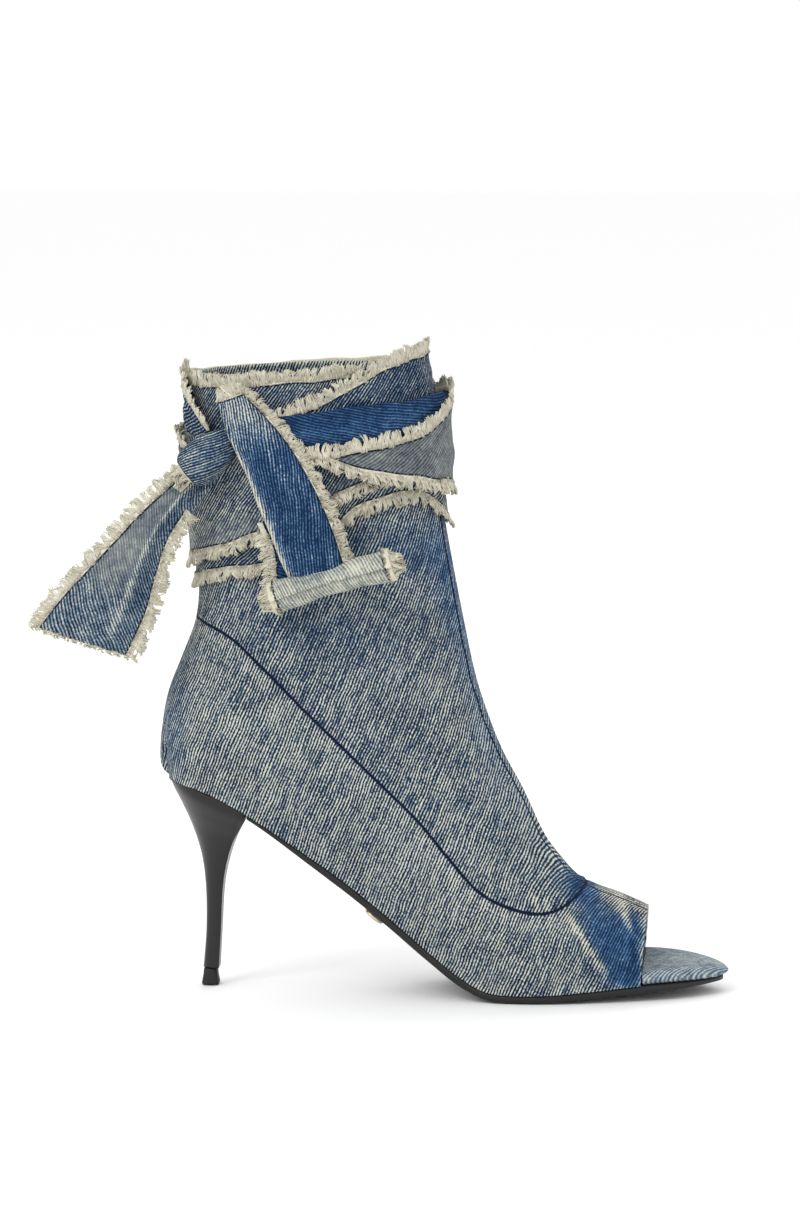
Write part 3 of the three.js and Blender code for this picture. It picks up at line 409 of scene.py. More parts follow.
# %% [markdown]
# ## Finishes as formulas
# A material is a small formula that gives each spot its colour, its roughness and its height. Shader
# nodes can be wired by hand, but long formulas are easier to read as Python. The class below wraps a
# socket so that a plus or a minus adds the Math node that works it out.


# %% Shader values that can be added and multiplied
class Value:
    """A shader socket: sums and products of it add the Math nodes that work them out."""

    def __init__(self, finish, socket):
        self.finish = finish
        self.socket = socket

    def __add__(self, other):
        return self.finish.maths("ADD", self, other)

    __radd__ = __add__

    def __sub__(self, other):
        return self.finish.maths("SUBTRACT", self, other)

    def __rsub__(self, other):
        return self.finish.maths("SUBTRACT", other, self)

    def __mul__(self, other):
        return self.finish.maths("MULTIPLY", self, other)

    __rmul__ = __mul__

    def __abs__(self):
        return self.finish.maths("ABSOLUTE", self)

    def cosine(self):
        return self.finish.maths("COSINE", self)

    def clamp(self):
        return self.finish.maths("ADD", self, 0, use_clamp=True)

    def between(self, low, high):
        """0 at low and 1 at high, with soft ends."""
        return self.finish.node(
            "MapRange",
            {"interpolation_type": "SMOOTHSTEP"},
            {"Value": self, "From Min": low, "From Max": high},
        )


class Finish:
    """A material that is built from formulas."""

    def __init__(self, name):
        self.material = bpy.data.materials.new(name)
        self.material.use_nodes = True
        self.tree = self.material.node_tree
        self.tree.nodes.clear()

    def node(self, kind, settings=None, sockets=None, out=0):
        """Adds one node with its settings, fills its sockets with values or links, and gives an
        output."""
        made = self.tree.nodes.new("ShaderNode" + kind)
        for key, value in (settings or {}).items():
            setattr(made, key, value)
        for key, value in (sockets or {}).items():
            if isinstance(value, Value):
                self.tree.links.new(value.socket, made.inputs[key])
            else:
                made.inputs[key].default_value = value
        return Value(self, made.outputs[out]) if made.outputs else None

    def maths(self, operation, *values, use_clamp=False):
        return self.node("Math", {"operation": operation, "use_clamp": use_clamp}, dict(enumerate(values)))

    def flat_place(self, x, y):
        return self.node("CombineXYZ", None, {"X": x, "Y": y})

    def grain(self, scale, detail=2.0):
        """Cloudy values round 0.5 in space. The scale is in clouds for each metre."""
        place = self.node("TexCoord", out=3)
        return self.node("TexNoise", None, {"Vector": place, "Scale": scale, "Detail": detail})

    def clouds(self, place, scale, detail=2.0):
        """Cloudy values round 0 over the cloth. place is flat: only its first two numbers count."""
        settings = {"noise_dimensions": "2D"}
        return self.node("TexNoise", settings, {"Vector": place, "Scale": scale, "Detail": detail}) - 0.5

    def mix(self, amount, first, second):
        """The first colour where amount is 0, the second where it is 1."""
        return self.node("Mix", {"data_type": "RGBA"}, {0: amount, 6: first, 7: second}, out=2)

    def tones(self, amount, stops):
        """A colour read off a ramp of (place, colour) stops."""
        made = self.tree.nodes.new("ShaderNodeValToRGB")
        while len(made.color_ramp.elements) < len(stops):
            made.color_ramp.elements.new(0.5)
        for element, (place, colour) in zip(made.color_ramp.elements, stops):
            element.position = place
            element.color = (*colour, 1)
        self.tree.links.new(amount.socket, made.inputs["Fac"])
        return Value(self, made.outputs["Color"])

    def mark(self, name):
        return self.node("Attribute", {"attribute_name": name}, out=2)

    def surface(self, colour, roughness, height=None, depth=0.0001, **fixed):
        """The outermost step: colour, roughness and bump go to one Principled surface."""
        sockets = {"Base Color": colour, "Roughness": roughness}
        sockets.update({name.replace("_", " "): value for name, value in fixed.items()})
        if height is not None:
            bump = {"Height": height, "Distance": depth, "Strength": 1.0}
            sockets["Normal"] = self.node("Bump", None, bump)
        shader = self.node("BsdfPrincipled", None, sockets)
        self.node("OutputMaterial", None, {"Surface": shader})
        return self.material


# %% [markdown]
# ## Denim
# Denim is a twill: indigo warp threads and pale weft threads cross so that fine slanting lines run over
# the cloth. Washing takes the indigo off, first along the lines' crests and folds, so the same cloth
# goes from navy to nearly white. An image could show that, but it would blur close up. Here the lines
# come from a cosine across the twill, and noises break them into threads. One number, the wash, says
# how pale a spot is. Ramps of tones then turn paleness into colour, so that the darks stay inky and
# only the palest threads are cream.

# %% The denim's finish
WORN_TONES = [
    (0.0, (0.002, 0.01, 0.035)), (0.25, (0.018, 0.045, 0.092)), (0.5, (0.095, 0.132, 0.16)),
    (0.75, (0.285, 0.302, 0.268)), (1.0, (0.6, 0.58, 0.45)),
]
BLUE_TONES = [
    (0.0, (0.004, 0.015, 0.045)), (0.25, (0.012, 0.042, 0.11)), (0.5, (0.036, 0.095, 0.195)),
    (0.75, (0.095, 0.172, 0.27)), (1.0, (0.38, 0.42, 0.425)),
]
GREY_TONES = [
    (0.0, (0.016, 0.022, 0.035)), (0.25, (0.07, 0.08, 0.09)), (0.5, (0.155, 0.165, 0.162)),
    (0.75, (0.29, 0.3, 0.265)), (1.0, (0.5, 0.5, 0.42)),
]
ECRU = (0.6, 0.57, 0.45, 1)
STITCH = (0.003, 0.009, 0.03, 1)
TWILL_PITCH = 1.18


def denim(name, seams=(), frayed=False):
    """Denim whose marks say how washed it is, how blue, how strong its weave, and how far a spot is
    from a seam or a raw edge; in a few places the wash mark also carries painted shadow. Paleness =
    wash + grain x (crest of the twill + breaks in each line + slubs) + mottle. Three ramps of tones turn
    it into colour: worn, towards blue above a blue of 0, towards grey below it."""
    finish = Finish(name)
    cloth = finish.node("UVMap", {"uv_map": "cloth"})
    across = finish.node("SeparateXYZ", None, {"Vector": cloth})
    along = Value(finish, across.socket.node.outputs["Y"])
    lines = across * (1 / TWILL_PITCH) + finish.clouds(cloth, 0.07) * 1.6
    crest = (lines * (2 * math.pi)).cosine()
    broken = finish.clouds(finish.flat_place(lines * 1.5, along * 1.1), 1.0, 1.0)
    slub = finish.clouds(finish.flat_place(lines * 0.8, along * 0.09), 1.0)
    cloud = finish.clouds(cloth, 0.05, 3.0)
    mottle = finish.clouds(cloth, 0.3, 3.0)
    thread = crest * 0.4 + broken * 1.05 + slub * 0.7
    pale = (finish.mark("wash") + thread * finish.mark("grain") + cloud * 0.35 + mottle * 0.5).clamp()
    tint = finish.mark("blue") + cloud * 0.4 + mottle * 0.4
    colour = finish.mix(tint.clamp(), finish.tones(pale, WORN_TONES), finish.tones(pale, BLUE_TONES))
    colour = finish.mix((tint * -1).clamp(), colour, finish.tones(pale, GREY_TONES))
    height = crest * 0.4 + broken * 0.6 + slub * 0.3
    for seam in seams:
        gap = abs(finish.mark(seam) + finish.clouds(cloth, 1.1, 1.0) * 0.5)
        colour = finish.mix(gap.between(0.8, 0.4), colour, STITCH)
        height = height - gap.between(1.0, 0.2) * 2
    if frayed:
        inside = finish.mark("fray")
        stitch = finish.clouds(cloth, 0.9, 1.0).between(-0.14, 0)
        line = abs(inside - 2.5).between(0.55, 0.2) * stitch
        colour = finish.mix(inside.between(2.3, 1.9), colour, ECRU)
        colour = finish.mix(line, colour, STITCH)
        height = height - line
    return finish.surface(colour, 0.9, height, 0.00018, Specular_IOR_Level=0.12)


UPPER_DENIM = denim("upper_denim", seams=("seam", "ridge"))
TIE_DENIM = denim("tie_denim", frayed=True)
print("the denim's nodes:", len(UPPER_DENIM.node_tree.nodes), "and", len(TIE_DENIM.node_tree.nodes))

# %% [markdown]
# ## Lining, frayed threads, sole and heel
# The lining is a plain black textile with hardly any weave. Frayed threads are soft undyed cotton,
# with painted shade at the edge they come from and between their tufts. The outsole is matt black, and
# the heel has a satin black cover whose long highlight shows its round back.


# %% The plain finishes
def lining_finish():
    """Black with hardly any weave: a fine noise moves its shade and its height."""
    finish = Finish("black_lining")
    weave_noise = finish.grain(1400.0, 1.0)
    colour = finish.mix(weave_noise, (0.006, 0.006, 0.007, 1), (0.02, 0.02, 0.021, 1))
    return finish.surface(colour, 0.85, weave_noise, 0.00008)


def fray_finish():
    """Cream in soft patches, darker where the mark called shade is high; that mark is painted shade plus a
    random tone.
    """
    finish = Finish("frayed_cotton")
    patch = finish.grain(260.0).between(0.35, 0.7)
    colour = finish.mix(patch, (0.58, 0.55, 0.43, 1), (0.74, 0.71, 0.59, 1))
    # Painted shade: the dark brown stands for shadow at the threads' roots and between tufts.
    colour = finish.mix(finish.mark("shade") * 0.75, colour, (0.2, 0.185, 0.14, 1))
    return finish.surface(colour, 0.9, Specular_IOR_Level=0.1)


def black_finish(name, shade, roughness, scale, depth):
    """Black with a fine grain: one noise moves its roughness and its height, a wider one its shade."""
    finish = Finish(name)
    fine, wide = finish.grain(scale, 3.0), finish.grain(scale / 20)
    colour = finish.mix(wide, *[tuple(k * c for c in shade) + (1,) for k in (0.75, 1.25)])
    return finish.surface(colour, roughness + (fine - 0.5) * 0.15, fine, depth, Specular_IOR_Level=0.35)


def metal_finish():
    """Brushed brass: one noise moves its shade, its roughness and its height."""
    finish = Finish("stud_metal")
    brushed = finish.grain(900.0)
    colour = finish.mix(brushed, (0.62, 0.53, 0.36, 1), (0.8, 0.71, 0.5, 1))
    return finish.surface(colour, 0.24 + brushed * 0.12, brushed, 0.00002, Metallic=1.0)


LINING = lining_finish()
COTTON = fray_finish()
SOLE_BLACK = black_finish("sole_black", (0.008, 0.008, 0.009), roughness=0.5, scale=700.0, depth=0.00005)
HEEL_BLACK = black_finish("heel_black", (0.008, 0.008, 0.0075), roughness=0.32, scale=900.0, depth=0.00002)
TIP_BLACK = black_finish("tip_black", (0.008, 0.008, 0.009), roughness=0.6, scale=800.0, depth=0.00004)
STUD_METAL = metal_finish()
print("finishes:", [finish.name for finish in bpy.data.materials])

# %% [markdown]
# ## The camera, the floor and the light
# The photograph was taken from the outer side, nearly level, with a long lens. A camera set far away
# keeps the same calm perspective. The light is a bright, even surround with one large soft lamp from
# the upper left, so shadows stay faint and the satin heel still gets its long highlight.

# %% The camera
AZIMUTH = math.radians(4)
ELEVATION = math.radians(7)
DISTANCE = 2.4
SENSOR = 36
AIM = Vector((0.0765, 0.0, 0.1547))
VIEW_HEIGHT = 0.4836

sight = Vector((
    -math.sin(AZIMUTH) * math.cos(ELEVATION),
    math.cos(AZIMUTH) * math.cos(ELEVATION),
    -math.sin(ELEVATION),
))
camera_data = bpy.data.cameras.new("camera")
camera_data.sensor_width = SENSOR
camera_data.lens = SENSOR * DISTANCE / VIEW_HEIGHT
camera_data.clip_end = 20
camera = add_object("camera", camera_data)
camera.location = AIM - sight * DISTANCE
camera.rotation_euler = sight.to_track_quat("-Z", "Y").to_euler()
bpy.context.scene.camera = camera
print("camera at", [round(v, 3) for v in camera.location])

# %% The floor and the lamps
FLOOR_HALF = 6.0
FLOOR_Z = -0.0003
WORLD_BRIGHTNESS = 1.05

floor_mesh = bpy.data.meshes.new("floor")
corners = [(-1, -1), (1, -1), (1, 1), (-1, 1)]
floor_mesh.from_pydata([(FLOOR_HALF * x, FLOOR_HALF * y, FLOOR_Z) for x, y in corners], [], [(0, 1, 2, 3)])
floor_mesh.materials.append(Finish("pale_floor").surface((0.93, 0.93, 0.93, 1), 0.7))
floor = add_object("floor", floor_mesh)


def lamp(name, place, size, power):
    """A square lamp that looks at the boot's middle."""
    data = bpy.data.lights.new(name, "AREA")
    data.size = size
    data.energy = power
    made = add_object(name, data)
    made.location = place
    made.rotation_euler = (AIM - Vector(place)).to_track_quat("-Z", "Y").to_euler()


lamp("key", (-0.9, -1.4, 1.5), size=0.9, power=16)
lamp("fill", (1.5, -1.2, 0.7), size=1.4, power=4)
lamp("back", (0.3, 1.6, 1.4), size=1.4, power=8)
world = bpy.data.worlds.new("studio")
world.use_nodes = True
surround = world.node_tree.nodes["Background"].inputs
surround["Color"].default_value = (1.0, 1.0, 1.0, 1)
surround["Strength"].default_value = WORLD_BRIGHTNESS
bpy.context.scene.world = world
bpy.context.scene.view_settings.view_transform = "Standard"
print("lamps:", [light.name for light in bpy.data.lights])

# %% [markdown]
# ## The upper
# The upper is two panels of denim, seamed along the ridge in front and along a slanting line on each
# side, and lined in black. It could be one smooth shell, but cloth on a last is never quite smooth: it
# puckers beside its seams and breaks into soft troughs over the ankle. So the last's surface is worked
# out on a fine grid, and listed troughs and ridges move it a little along its own normals. The
# wall then gets its thickness inwards.

# %% Where the upper's seams, troughs, washed places and painted shadow lie, seen from the side
SIDE_SEAM = smooth([
    (-2.8, 149.5), (11.1, 143.6), (23.8, 132.6), (38.9, 117.5), (54.8, 102.1), (70.6, 87.0), (86.5, 71.5),
    (98.5, 57.2), (110.4, 44.5), (122.4, 38.2), (134.3, 35.9), (143.0, 37.7), (150.1, 42.2), (154.9, 47.4),
], 56)
WASH_AND_SHADE_SPOTS = rows("x z long wide lean wash blue", [
    (-13, 108, 34, 6, 86, -0.06, 0.35), (-4, 112, 26, 4, 84, 0.1, 0.0),
    (161, 25, 19, 7.5, -56, -0.2, 1.0), (170, 29, 11, 5, -70, -0.16, 0.9),
    (150, 44, 8, 4, -35, -0.2, 1.0), (168, 11, 8, 5, 0, -0.14, 0.9),
    (149.5, 28.4, 9, 1.3, -55, 0.55, -0.9), (168.3, 32, 9, 1.3, -62, 0.5, -0.9),
    (157, 17, 8, 1.6, -50, 0.28, -0.4), (132.8, 40, 4, 1.1, -65, 0.35, -0.3),
    (137.2, 38.4, 4, 1.1, -70, 0.35, -0.3), (167, 38.5, 11, 3.6, -24, 0.32, -1.0),
    (171.5, 20, 12, 1.4, -86, -0.25, 0.6), (136, 66, 34, 6, -56, 0.14, 0.1),
    (104, 138, 52, 5, -78, 0.1, 0.5), (60, 118, 45, 26, -45, -0.05, 0.0),
    (96, 52, 30, 12, -44, 0.08, 0.0), (20, 96, 30, 16, -30, 0.06, 0.0),
    (118, 22, 30, 10, -6, 0.04, 0.0), (50, 150, 40, 14, -10, -0.06, 0.2),
    # The spot at x 80, z 179 is partly painted shadow of the tie on the upper and partly darker dye; the
    # one at x 96, z 160 is darker and bluer.
    (124, 90, 26, 6, -66, -0.06, 0.2), (80, 179, 34, 10, -8, -0.08, 0.4),
    (96, 160, 24, 8, -70, -0.04, 0.3),
])
TROUGHS = rows("x z long wide lean depth", [
    (88, 118, 22, 4.0, 25, -0.9), (92, 104, 20, 3.5, 18, -0.7), (84, 133, 18, 4.0, 32, -0.6),
    (8, 122, 16, 4.0, -20, -0.8), (14, 108, 18, 4.5, -12, -0.6), (30, 140, 20, 4.0, -38, 0.6),
    (36, 152, 18, 3.5, 30, -0.5), (64, 146, 26, 4.0, -60, -0.5), (126, 58, 12, 3.0, 20, -0.5),
    (112, 76, 14, 3.0, 25, -0.5), (140, 30, 16, 4.0, -8, 0.5), (70, 96, 24, 4.0, -48, 0.5),
])

print(len(WASH_AND_SHADE_SPOTS["x"]), "washed places and", len(TROUGHS["x"]), "troughs and ridges")


def spots(table, name, x, z):
    """The sum of soft long spots: amount x exp(-(a / long)^2 - (c / wide)^2), a along and c across its
    lean."""
    total = np.zeros(np.shape(x))
    columns = [table[k] for k in ("x", "z", "long", "wide", "lean", name)]
    for spot_x, spot_z, long, wide, lean, amount in zip(*columns):
        turn = math.radians(lean)
        along = (x - spot_x) * math.cos(turn) + (z - spot_z) * math.sin(turn)
        across = (z - spot_z) * math.cos(turn) - (x - spot_x) * math.sin(turn)
        total += amount * np.exp(-((along / long) ** 2) - (across / wide) ** 2)
    return total


def beside(x, z, line):
    """Signed distance from a line in the side view, and how far along the line the nearest point lies."""
    place = np.stack([x, z], -1)[..., None, :]
    start, step = line[:-1], np.diff(line, axis=0)
    share = np.clip(np.sum((place - start) * step, -1) / np.sum(step * step, -1), 0, 1)
    gap = place - (start + share[..., None] * step)
    far = np.hypot(gap[..., 0], gap[..., 1])
    near = np.argmin(far, -1)[..., None]
    turned = np.take_along_axis(step[:, 0] * gap[..., 1] - step[:, 1] * gap[..., 0], near, -1)[..., 0]
    run = np.append(0, np.cumsum(np.linalg.norm(step, axis=1)))
    along = run[near[..., 0]] + np.take_along_axis(share, near, -1)[..., 0] * np.diff(run)[near[..., 0]]
    return np.take_along_axis(far, near, -1)[..., 0] * np.where(turned < 0, -1, 1), along


def wander(t, seed, waves, size=1.0):
    """A smooth random line over t, which repeats after 1: a sum of sines whose phases come from the
    seed."""
    chance = np.random.default_rng(seed)
    phase = chance.uniform(0, 2 * np.pi, len(waves))
    return size * sum(np.sin(2 * np.pi * w * t + p) for w, p in zip(waves, phase)) / len(waves)


def twill_map(x, z, lean):
    """How far a spot lies across and along the twill, whose lines lean by an angle from the level."""
    turn = math.radians(lean)
    return np.stack([x * math.sin(turn) - z * math.cos(turn), x * math.cos(turn) + z * math.sin(turn)], -1)


# %% The upper's surface
UPPER_RINGS = 250
UPPER_LEAN = 67
FACING = 16
FRONT_SEAM = 6
SIDE_POINTS = 58
MIDDLE_POINT = 23
UNDER_COLLAR = 0.015


def even_shares(top, count):
    """Shares through the sections, spaced so that each ring moves on by about the same length."""
    share = np.linspace(0, top, 2000)
    start = np.stack(base_point(column(SECTIONS, "base", share), 0), -1)
    reach = column(SECTIONS, "front", share) * front_run[-1]
    step = np.linalg.norm(np.diff(start, axis=0), axis=1) + np.abs(np.diff(reach)) * 0.6
    run = np.append(0, np.cumsum(step))
    return np.interp(np.linspace(0, run[-1], count), run, share)


def toe_edge(z):
    """How far forward the edge of the toe opening lies at a height."""
    edge = skin(np.zeros(40), np.linspace(0, 1, 40), -1)
    return np.interp(z, edge[:, 2], edge[:, 0])


def upper_side(share, up, side):
    """One side from the turned-in margin to the ridge: its points, its cloth map and its distance from
    the front seam. The cloth is laid out from the middle of each section."""
    half = skin(share, up, side)
    margin = half[:, :1].copy()
    margin[..., 1] = side * np.maximum(0, np.abs(margin[..., 1]) - LASTING_MARGIN)
    sheet = np.concatenate([margin, half], 1)
    run = np.cumsum(np.linalg.norm(np.diff(sheet, axis=1, prepend=sheet[:, :1]), axis=-1), axis=1)
    middle = slice(MIDDLE_POINT, MIDDLE_POINT + 1)
    lead = unit((sheet[:, -1] - sheet[:, 1])[:, None, [0, 2]])
    laid = sheet[:, middle, [0, 2]] + lead * (run - run[:, middle])[..., None]
    cloth = twill_map(laid[..., 0], laid[..., 1], UPPER_LEAN)
    return sheet, cloth, FRONT_SEAM + side * (run[:, -1:] - run)


def make_upper():
    """The denim shell: rows are sections, columns run from one turned-in margin over the ridge to the
    other. Troughs, puckers and a raised seam move it along its normals, and the marks say where it is
    washed, and where painted shadow darkens it just under the tie."""
    share = even_shares(share_at_rise(COLLAR_RISE - UNDER_COLLAR), UPPER_RINGS)[:, None]
    u = np.linspace(0, 1, SIDE_POINTS)[None, :]
    up = 0.5 * u + 0.25 * (1 - np.cos(np.pi * u))
    sides = zip(upper_side(share, up, -1), upper_side(share, up, 1))
    points, cloth, ridge = [np.concatenate([outer, inner[:, ::-1]], 1) for outer, inner in sides]
    x, y, z = np.moveaxis(points, -1, 0)
    outer = y < 0
    seam, along_seam = beside(x, z, SIDE_SEAM)
    calm = ramp(np.abs(y), 0.5, 5) * ramp(z - sole_height(x), 1, 9)
    waves = np.sin(along_seam * 0.95 + 2 * np.sin(along_seam * 0.21))
    pucker = bell(np.abs(seam), 2.6, 1.7) * waves
    lift = spots(TROUGHS, "depth", x, z) * np.where(outer, 1, 0.6) + 0.22 * pucker
    lift += 0.5 * bell(seam, 1.4, 1.0) - 0.35 * bell(seam, 0, 0.55)
    lift += 0.16 * np.sin(x * 0.19 + 1.3 * np.sin(z * 0.07)) * np.sin(z * 0.12 + x * 0.05)
    points = points + grid_normals(points) * (lift * calm)[..., None]
    # Most spots are wash; the one just under the tie is partly painted shadow.
    wash = 0.4 + spots(WASH_AND_SHADE_SPOTS, "wash", x, z) * np.where(outer, 1, 0.5)
    wash += 0.1 * bell(seam, -3.5, 2.4) - 0.12 * bell(seam, 2.4, 1.8)
    wash += 0.08 * pucker * bell(seam, 0, 4) + 0.06 * bell(ridge, 0, 3)
    opening, collar = toe_edge(z), z[-1:]
    wash += 0.45 * ramp(x, opening - 1.6, opening - 0.6) + 0.4 * ramp(z, collar - 1.2, collar - 0.4)
    saturated = spots(WASH_AND_SHADE_SPOTS, "blue", x, z)
    grain = 1.35 - 0.6 * np.clip(saturated, 0, 1)
    # Near the collar the inner face is a denim facing, not lining.
    near_collar = np.zeros((points.shape[0] - 1, points.shape[1] - 1), int)
    near_collar[z[1:, 1:] > z[-1, 2:].min() - FACING] = 2
    piece = weave(
        "upper_denim",
        points,
        grid_faces(*points.shape[:2]),
        cloth,
        {"wash": wash, "blue": 0.12 + saturated, "grain": grain, "seam": seam, "ridge": ridge},
        (UPPER_DENIM, LINING, UPPER_DENIM, UPPER_DENIM),
        weld=0.02,
        finish_of=near_collar,
    )
    return thicken(piece, WALL, lining=1)


settle(make_upper(), "denim", "upper")

# %% [markdown]
# ## The sole, the insole and the covered toe platform
# The outsole and the insole are boards that follow the sole's bent line. Each is carried along X: at
# every station a small profile gives its low face, its edge and its top, and the outline gives the two
# half widths. The insole widens ahead of the toe opening into a platform that is covered in the same
# denim, so its edge is rounded.


# %% Boards that follow the sole's line
DRAWN_IN = 25


def board(
    name, inset, low, high, start, end, profile, finish, stations=150, marks=None, lean=UPPER_LEAN, tip=0
):
    """A closed board. The profile's rows give how far inwards a point lies and its share from low to
    high. Over the last DRAWN_IN it is shortened by up to tip."""
    outer, inner = outline(inset)
    start = max(start, outer[0, 0], inner[0, 0])
    end = min(end, outer[-1, 0])
    x = (start + end) / 2 - (end - start) / 2 * np.cos(np.pi * np.linspace(0, 1, stations))
    bottom, top = low(x)[:, None], high(x)[:, None]
    inwards, rise = np.array(profile).T
    z = bottom + rise * (top - bottom)
    sides = []
    for side in (-1, 1):
        half = np.maximum(0, half_width(x, side, inset)[:, None] - inwards)
        sides.append(np.stack([np.broadcast_to(x[:, None], half.shape), side * half, z], -1))
    rings = np.concatenate([sides[0], sides[1][:, ::-1]], 1)
    rings[..., 0] -= tip * (ramp(x, end - DRAWN_IN, end) ** 2)[:, None]
    cloth = twill_map(rings[..., 0], rings[..., 1] + rings[..., 2], lean)
    values = {key: np.full(rings.shape[:2], value) for key, value in (marks or {}).items()}
    return weave_rings(name, rings, finish, cloth, values)


def round_edge(width, points):
    """A profile with rounded corners: quarter circles from the faces into the edge."""
    turn = np.linspace(0, np.pi / 2, points)
    low = [(width * (1 - np.sin(t)), 0.5 * (1 - np.cos(t))) for t in turn]
    high = [(width * (1 - np.cos(t)), 0.5 + 0.5 * np.sin(t)) for t in turn]
    return [(width + 3, 0.0)] + low + high + [(width + 3, 1.0), (width + 9, 1.0)]


INSOLE_THICKNESS = 3.4
BREAST = 17
TOE_DROP = 2.6
DROP_LENGTH = 30
TIP_LENGTH = 6
OUTSOLE_INSET = 0.4
OUTSOLE_EDGE = [(1.4, 0.0), (0.5, 0.12), (0.1, 0.38), (0.0, 0.6), (0.2, 1.0)]
toe_start = float(toe_edge(np.array(8.0))) + 0.6
under = WALL + GAP


def insole_top(x):
    return above(x, under + INSOLE_THICKNESS)


def platform_top(x):
    """The platform's top falls with the square of the distance over the drop's length."""
    return insole_top(x) - TOE_DROP * np.clip((x - x_at(1) + DROP_LENGTH) / DROP_LENGTH, 0, 1) ** 2


def round_tip(x):
    """1 along the platform, then a quarter circle down to 0 over the tip's length."""
    past = np.clip((x - x_at(1) + TIP_LENGTH + GAP) / TIP_LENGTH, 0, 1)
    return np.sqrt(1 - past**2)


def tread(x):
    """How far the outsole's low face lies under the last: thin at the breast and at the tip."""
    return TREAD * (0.5 + 0.5 * ramp(x, BREAST, 55)) * (1 - 0.4 * ramp(x, 175, 205))


def platform_face(x, way):
    """The platform's low face (way -1) or its top (way 1), which meet at the tip."""
    low, high = above(x, 0.05), platform_top(x)
    return (low + high) / 2 + way * ((high - low) / 2 * round_tip(x))


settle(board(
    "outsole_board", OUTSOLE_INSET, lambda x: np.maximum(0, above(x, -tread(x))),
    lambda x: above(x, -GAP / 3), BREAST, math.inf, OUTSOLE_EDGE, SOLE_BLACK, tip=2,
), "sole_black", "outsole")
settle(board(
    "insole_board", WALL + 1, lambda x: above(x, under), insole_top, -math.inf, toe_start - 0.1,
    round_edge(width=1.2, points=4), LINING,
), "denim", "insole")
settle(board(
    "toe_platform", GAP, lambda x: platform_face(x, -1), lambda x: platform_face(x, 1), toe_start, math.inf,
    round_edge(width=4.0, points=9), TIE_DENIM, stations=120,
    marks={"wash": 0.75, "blue": 0.6, "grain": 0.5, "fray": 9.0}, lean=60,
), "denim", "insole")

# %% [markdown]
# ## The heel, its tip and the stud
# A stiletto heel is turned and milled from plastic and then covered. Its sections are round behind and
# flat in front, narrow in the stem and as wide as the seat at the top. A loft through a few listed
# rows gives this form; a power on the sine and cosine of each ring squares the ring off towards the
# seat.

# %% The heel
TIP_HEIGHT = 6.5
STEM_WIDTH = 8.6
HOLLOW = 0.9
HEEL_ROWS = rows("back back_rise front front_rise width", [
    (0.176, 0.0, 0.206, 0.0, 0.0), (0.106, 0.2, 0.259, 0.2, 0.0), (0.112, 0.41, 0.312, 0.41, 0.06),
    (0.2, 0.58, 0.42, 0.55, 0.2), (0.4, 0.73, 0.6, 0.67, 0.45), (0.64, 0.855, 0.81, 0.755, 0.74),
    (0.87, 0.96, 0.96, 0.815, 0.95), (0.94, 1.02, 1.0, 0.87, 0.98), (0.96, 1.06, 1.0, 0.93, 1.0),
])


def make_heel():
    """Rings: x = front - depth x sin(a)^p and y = half x cos(a)^p, cut off at the seat. The flat breast
    that closes each ring is a little hollow towards the seat."""
    share = np.linspace(0, 1, 110)[:, None]
    angle = np.linspace(0, np.pi, 49)[None, :]
    read = {name: column(HEEL_ROWS, name, share) for name in HEEL_ROWS}
    low = TIP_HEIGHT + GAP
    tall = HEEL_HEIGHT - TIP_HEIGHT
    width = np.clip(read["width"], 0, 1)
    power = 2 / (2 + 0.6 * width)
    depth = np.abs(np.sin(angle)) ** power
    across = np.sign(np.cos(angle)) * np.abs(np.cos(angle)) ** power
    half = STEM_WIDTH / 2 + width * (float(half_width(BREAST, -1, OUTSOLE_INSET)) - STEM_WIDTH / 2)
    front = read["front"] * BREAST
    x = front - depth * (front + read["back"] * BREAST)
    front_z, rear_z = low + read["front_rise"] * tall, low + read["back_rise"] * tall
    z = np.minimum(front_z + depth * (rear_z - front_z), above(x, -GAP))
    rings = np.stack([x, -half * across, z], -1)
    breast_share = np.linspace(0, 1, 12)[1:-1][None, :, None]
    breast = rings[:, -1:] + breast_share * (rings[:, :1] - rings[:, -1:])
    breast[..., 0] -= HOLLOW * width * np.sin(np.pi * breast_share[..., 0])
    return weave_rings("heel_cover", np.concatenate([rings, breast], 1), HEEL_BLACK)


settle(make_heel(), "heel_black", "heel")


# %% The heel tip and the stud
ROUND_POINTS = 48
TIP_CORNER = 2.2
TIP_LEVELS = rows("z half_length half_width", [
    (0.0, 3.0, 4.2), (0.0, 3.2, 4.4), (0.35, 3.45, 4.65), (1.2, 3.4, 4.6), (4.0, 2.9, 4.1),
    (6.2, 2.7, 3.9), (6.5, 2.5, 3.7),
])
STUD_ALONG = 0.386
STUD_SIDE = -9
STUD_STANDS_OFF = 0.45
STUD_PROFILE = [
    (0, 0), (3.1, 0), (3.1, 1.0), (4.2, 1.2), (4.5, 1.5), (4.5, 2.3), (4.3, 2.7), (3.6, 3.0),
    (2.2, 3.3), (0, 3.4),
]


def lathe(name, profile, middle, axis, finish):
    """A profile of radius and height turned round an axis through a point."""
    radius, height = np.array(profile, float).T
    angle = np.linspace(0, 2 * np.pi, ROUND_POINTS, endpoint=False)
    axis = unit(np.array(axis, float))
    first = unit(np.cross(axis, (0.0, 1.0, 0.0)))
    second = np.cross(axis, first)
    spin = np.cos(angle)[:, None] * first + np.sin(angle)[:, None] * second
    rings = np.array(middle) + radius[:, None, None] * spin[None] + (height[:, None] * axis)[:, None]
    faces = grid_faces(len(radius), ROUND_POINTS, wrap_columns=True)
    return weave(name, rings, faces, finishes=(finish,), weld=0.005)


